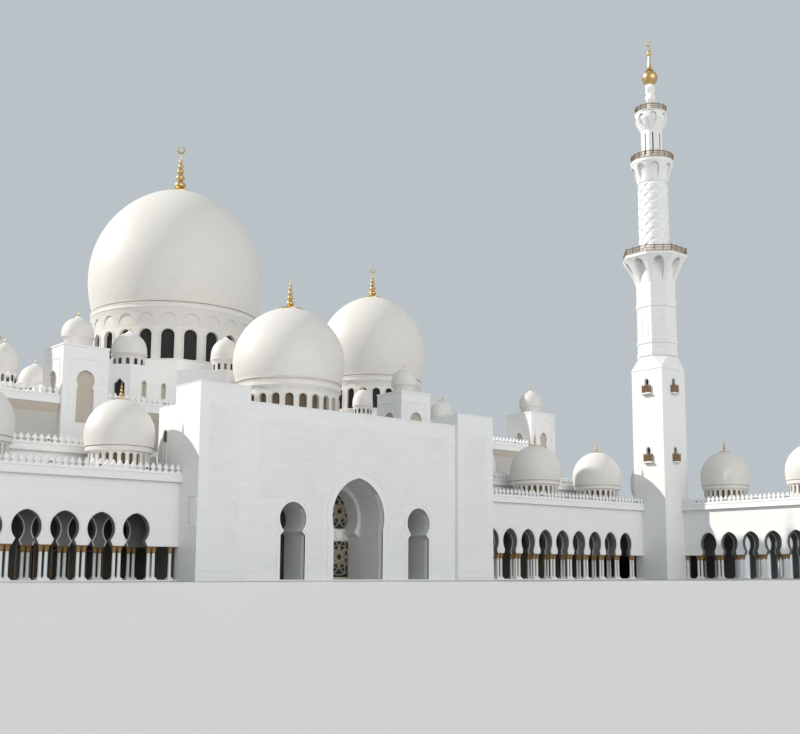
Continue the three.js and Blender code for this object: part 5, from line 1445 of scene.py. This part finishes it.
def make_round_shaft():
    """Round shaft whose surface is a net of pillowed diamonds: the radius grows with the distance from two
    crossing families of eight spirals, with a slight sawtooth on the rising one."""
    surface = Surface()
    x, y = MINARET
    low, top, radius, pitch = 6.3003, 7.84, 0.295, 0.2
    z = np.linspace(low, top, 180)[:, None]
    t = turns(192)[None]
    rising = np.mod(8 * t / (2 * math.pi) - (z - low) / pitch, 1.0)
    falling = np.mod(8 * t / (2 * math.pi) + (z - low) / pitch, 1.0)
    scale = np.minimum(np.minimum(rising * 1.3, (1 - rising) * 5.0), 1 - np.abs(2 * falling - 1))
    fade = np.clip(np.minimum(z - low - 0.03, top - 0.03 - z) / 0.03, 0, 1)
    r = radius - 0.012 + 0.024 * np.clip(scale, 0, 1) ** 0.6 * fade
    surface.add(capped(polar(r, t, z, x, y)))
    lean = [(radius, 7.83), (0.365, 8.07), (0.428, 8.217)]
    niched_flare(surface, MINARET, lean, (0.66, 8.05, 8.18), foot=7.86, depth=0.045)
    rim = [(0.2, 8.215), (0.43, 8.215), (0.43, 8.262), (0.435, 8.266), (0.435, 8.275), (0.2, 8.275),
           (0.2, 8.215)]
    surface.add(turned(rim, 72, x, y))
    surface.add(torus(radius + 0.002, 6.33, 0.014, 72, x, y))
    railing(surface, circle(0.418, 60, x, y), GALLERIES["second"], True, 0.135, 0.02, 0.13)
    surface.make("minaret_round_marble", "plain rail", "marble", "minaret_round_shaft")


def make_lantern():
    """Octagonal lantern with slits, niched flare, third gallery, and the stem with two twisted bulges."""
    surface = Surface()
    x, y = MINARET
    flat, low, flare, top = 0.2, 8.2753, 8.92, GALLERIES["third"]
    surface.add(carried(octagon(flat, x, y), [(-0.12, low), (0, low), (0, flare), (-0.12, flare)]))
    spots = on_drum(x, y, flat, turns(8))
    slit = round_head(0.012, low + 0.14, flare - 0.05, 8, 1.6)
    surface.add(lining(slit, 0.0, 0.006, -0.005, 0.006, True), 0, spots)
    add_panes(surface, slit, spots, -0.002, 2)
    lean = [(flat, flare - 0.002), (0.31, 9.13), (0.325, 9.165), (0.325, top - 0.02)]
    niched_flare(surface, MINARET, lean, (0.62, 9.16, 9.25), foot=9.03, depth=0.035)
    rim = [(0.05, top - 0.022), (0.33, top - 0.022), (0.334, top - 0.018), (0.334, top), (0.05, top),
           (0.05, top - 0.022)]
    surface.add(turned(rim, 64, x, y))
    railing(surface, circle(0.312, 48, x, y), top, True, 0.13, 0.02, 0.12)
    z = np.linspace(top, 9.94, 64)[:, None]
    t = turns(32)[None]
    bulges = [np.clip(1 - ((z - middle) / 0.1) ** 2, 0, None) for middle in (9.637, 9.85)]
    size = 0.066 + 0.03 * np.maximum(*bulges) + 0.006 * (z > 9.735)
    surface.add(capped(polar(size * (1 + 0.12 * np.cos(4 * t + (z - top) * 24)), t, z, x, y)))
    surface.make("minaret_lantern_marble", "plain rail glass", "marble", "minaret_lantern")


def make_minaret_finial():
    """Gilded ball on a collar, a tapering spindle with a bead, and a ring crescent."""
    surface = Surface()
    x, y = MINARET
    t = np.linspace(-1.25, 1.2, 24)
    ball = np.column_stack([0.157 * np.cos(t), 10.09 + 0.157 * np.sin(t)])
    profile = np.concatenate([
        [(0, 9.9403), (0.075, 9.9403), (0.07, 9.95)], ball,
        [(0.078, 10.238), (0.087, 10.246), (0.07, 10.262), (0.052, 10.285), (0.04, 10.32), (0.034, 10.37),
         (0.027, 10.46), (0.021, 10.56), (0.03, 10.575), (0.047, 10.61), (0.045, 10.64), (0.02, 10.68),
         (0.006, 10.75), (0, 10.78)]])
    surface.add(turned(profile, 40, x, y))
    surface.add(crescent(x, y, 10.765, 0.064, 0.014))
    surface.make("minaret_finial_gilt", "gold", "gold", "minaret_finial")


# Stage

def add_sun(name, toward, energy, spread, colour):
    """A sun lamp that shines from the given direction, as soft as its spread in degrees."""
    lamp = bpy.data.lights.new(name, "SUN")
    lamp.energy, lamp.angle, lamp.color = energy, math.radians(spread), colour
    light = bpy.data.objects.new(name, lamp)
    x, y, z = np.array(toward) / np.linalg.norm(toward)
    light.rotation_euler = (math.acos(z), 0, math.atan2(y, x) + QUARTER)
    bpy.context.scene.collection.objects.link(light)


def make_stage():
    """Pale floor, soft sky light, a low key light from the left and behind, a soft fill, and the camera."""
    scene = bpy.context.scene
    mesh = bpy.data.meshes.new("stage_floor")
    reach = 160.0
    mesh.from_pydata(level(rectangle(-reach, reach, -reach, reach), -0.001), [], [(0, 1, 2, 3)])
    ground = Finish("pale_floor", Roughness=0.55, Specular_IOR_Level=0.3)
    base = colours().floor
    tone = ground.mix(ground.noise(0.4, 4.0), shade(base, 0.98), shade(base, 1.02))
    mesh.materials.append(ground.done(tone))
    floor = bpy.data.objects.new("stage_floor", mesh)
    scene.collection.objects.link(floor)
    world = bpy.data.worlds.new("soft_sky")
    world.use_nodes = True
    sky = world.node_tree.nodes["Background"]
    sky.inputs["Color"].default_value = (*colours().sky, 1)
    sky.inputs["Strength"].default_value = 1.0
    scene.world = world
    scene.view_settings.view_transform = "Standard"
    add_sun("key_light", (-0.63, 0.66, 0.575), 3.8, 0.6, (1.0, 0.955, 0.89))
    add_sun("fill_light", (-0.12, -0.9, 0.2), 1.18, 50.0, (1.0, 0.965, 0.92))
    lens = bpy.data.cameras.new("camera")
    width, height = PHOTO_SIZE
    lens.sensor_width = SENSOR
    lens.lens = SENSOR * FOCAL_PIXELS / width
    lens.shift_x = (width / 2 - MIDDLE_PIXEL[0]) / width
    lens.shift_y = (MIDDLE_PIXEL[1] - height / 2) / width
    lens.clip_end = 600
    eye = bpy.data.objects.new("camera", lens)
    eye.location = EYE
    eye.rotation_euler = Euler((QUARTER + math.radians(PITCH), 0, -math.radians(YAW)))
    scene.collection.objects.link(eye)
    scene.camera = eye


# Operators

def operator(name, label, note, work, names=None):
    """An operator of its own for a piece, or for a group of like pieces that have names."""
    def execute(self, context):
        if names is None:
            work()
        for each in names or ():
            work(each)
        return {"FINISHED"}

    return type(f"MOSQUE_OT_{name}", (Operator,), {
        "bl_idname": f"mosque.{name}", "bl_label": label, "__doc__": note,
        "bl_options": {"REGISTER", "UNDO"}, "execute": execute})


ARCADE_DOMES = [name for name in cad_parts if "arcade_dome" in name] + ["corner_dome"]
OPERATORS = [
    operator("walls", "Walls", "Gives the walls, floors and roofs their marble", dress_walls),
    operator("columns", "Columns", "Makes the paired columns of the arcades", make_columns, RUNS),
    operator("arches", "Arches", "Lines the keyhole arches of the arcades", make_arcade_arches, RUNS),
    operator("outer_arches", "Outer arches", "Lines the open arches of the outer wall", make_outer_arches),
    operator("aisle_doors", "Aisle doors", "Makes the dark doors behind the arcades", make_aisle_doors),
    operator("domes", "Domes", "Makes the four large domes", make_dome, DOMES),
    operator("drums", "Drums", "Makes the drums with their windows", make_drum, DOMES),
    operator("finials", "Finials", "Makes the gilded finials", make_finial, DOMES),
    operator("arcade_domes", "Arcade domes", "Makes the arcade domes", make_arcade_dome, ARCADE_DOMES),
    operator("cupolas", "Cupolas", "Makes the small domes on blocks and towers", make_cupolas),
    operator("parapets", "Parapets", "Makes the cornice rolls and merlons", make_parapets),
    operator("portal", "Portal frames", "Makes the frames round the portal's arches", make_portal_frames),
    operator("screen", "Entrance screen", "Makes the glass screen and its tracery", make_screen),
    operator("pylon_sides", "Pylon sides", "Makes the windows and louvres on the pylons", make_pylon_sides),
    operator("side_doors", "Side doors", "Makes the glass doors of the side passages", make_side_doors),
    operator("windows", "Windows", "Makes panes and linings of windows and niches", make_window_panes),
    operator("block_windows", "Block windows", "Makes the windows of the upper block", make_block_windows),
    operator("balconies", "Balconies", "Makes the minaret's balconies", make_minaret_base),
    operator("octagon", "Octagon", "Makes the octagonal shaft and first gallery", make_minaret_octagon),
    operator("round_shaft", "Round shaft", "Makes the round shaft and second gallery", make_round_shaft),
    operator("lantern", "Lantern", "Makes the lantern, third gallery and stem", make_lantern),
    operator("minaret_finial", "Minaret finial", "Makes the ball, spindle and crescent", make_minaret_finial),
    operator("stage", "Stage", "Makes the floor, lights and camera", make_stage),
]


class MOSQUE_PT_pieces(Panel):
    """Lists the pieces of the mosque"""

    bl_label = "Mosque"
    bl_space_type = "VIEW_3D"
    bl_region_type = "UI"
    bl_category = "Mosque"

    def draw(self, context):
        for each_operator in OPERATORS:
            self.layout.operator(each_operator.bl_idname)


CLASSES = [MosqueSizes, MosqueColours, *OPERATORS, MOSQUE_PT_pieces]


def register():
    for each_class in CLASSES:
        bpy.utils.register_class(each_class)
    bpy.types.Scene.mosque_sizes = PointerProperty(type=MosqueSizes)
    bpy.types.Scene.mosque_colours = PointerProperty(type=MosqueColours)


def unregister():
    del bpy.types.Scene.mosque_colours
    del bpy.types.Scene.mosque_sizes
    for each_class in reversed(CLASSES):
        bpy.utils.unregister_class(each_class)


def main():
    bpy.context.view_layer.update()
    register()
    for each_operator in OPERATORS:
        name = each_operator.bl_idname.split(".")[1]
        getattr(bpy.ops.mosque, name)()


if __name__ == "__main__":
    main()
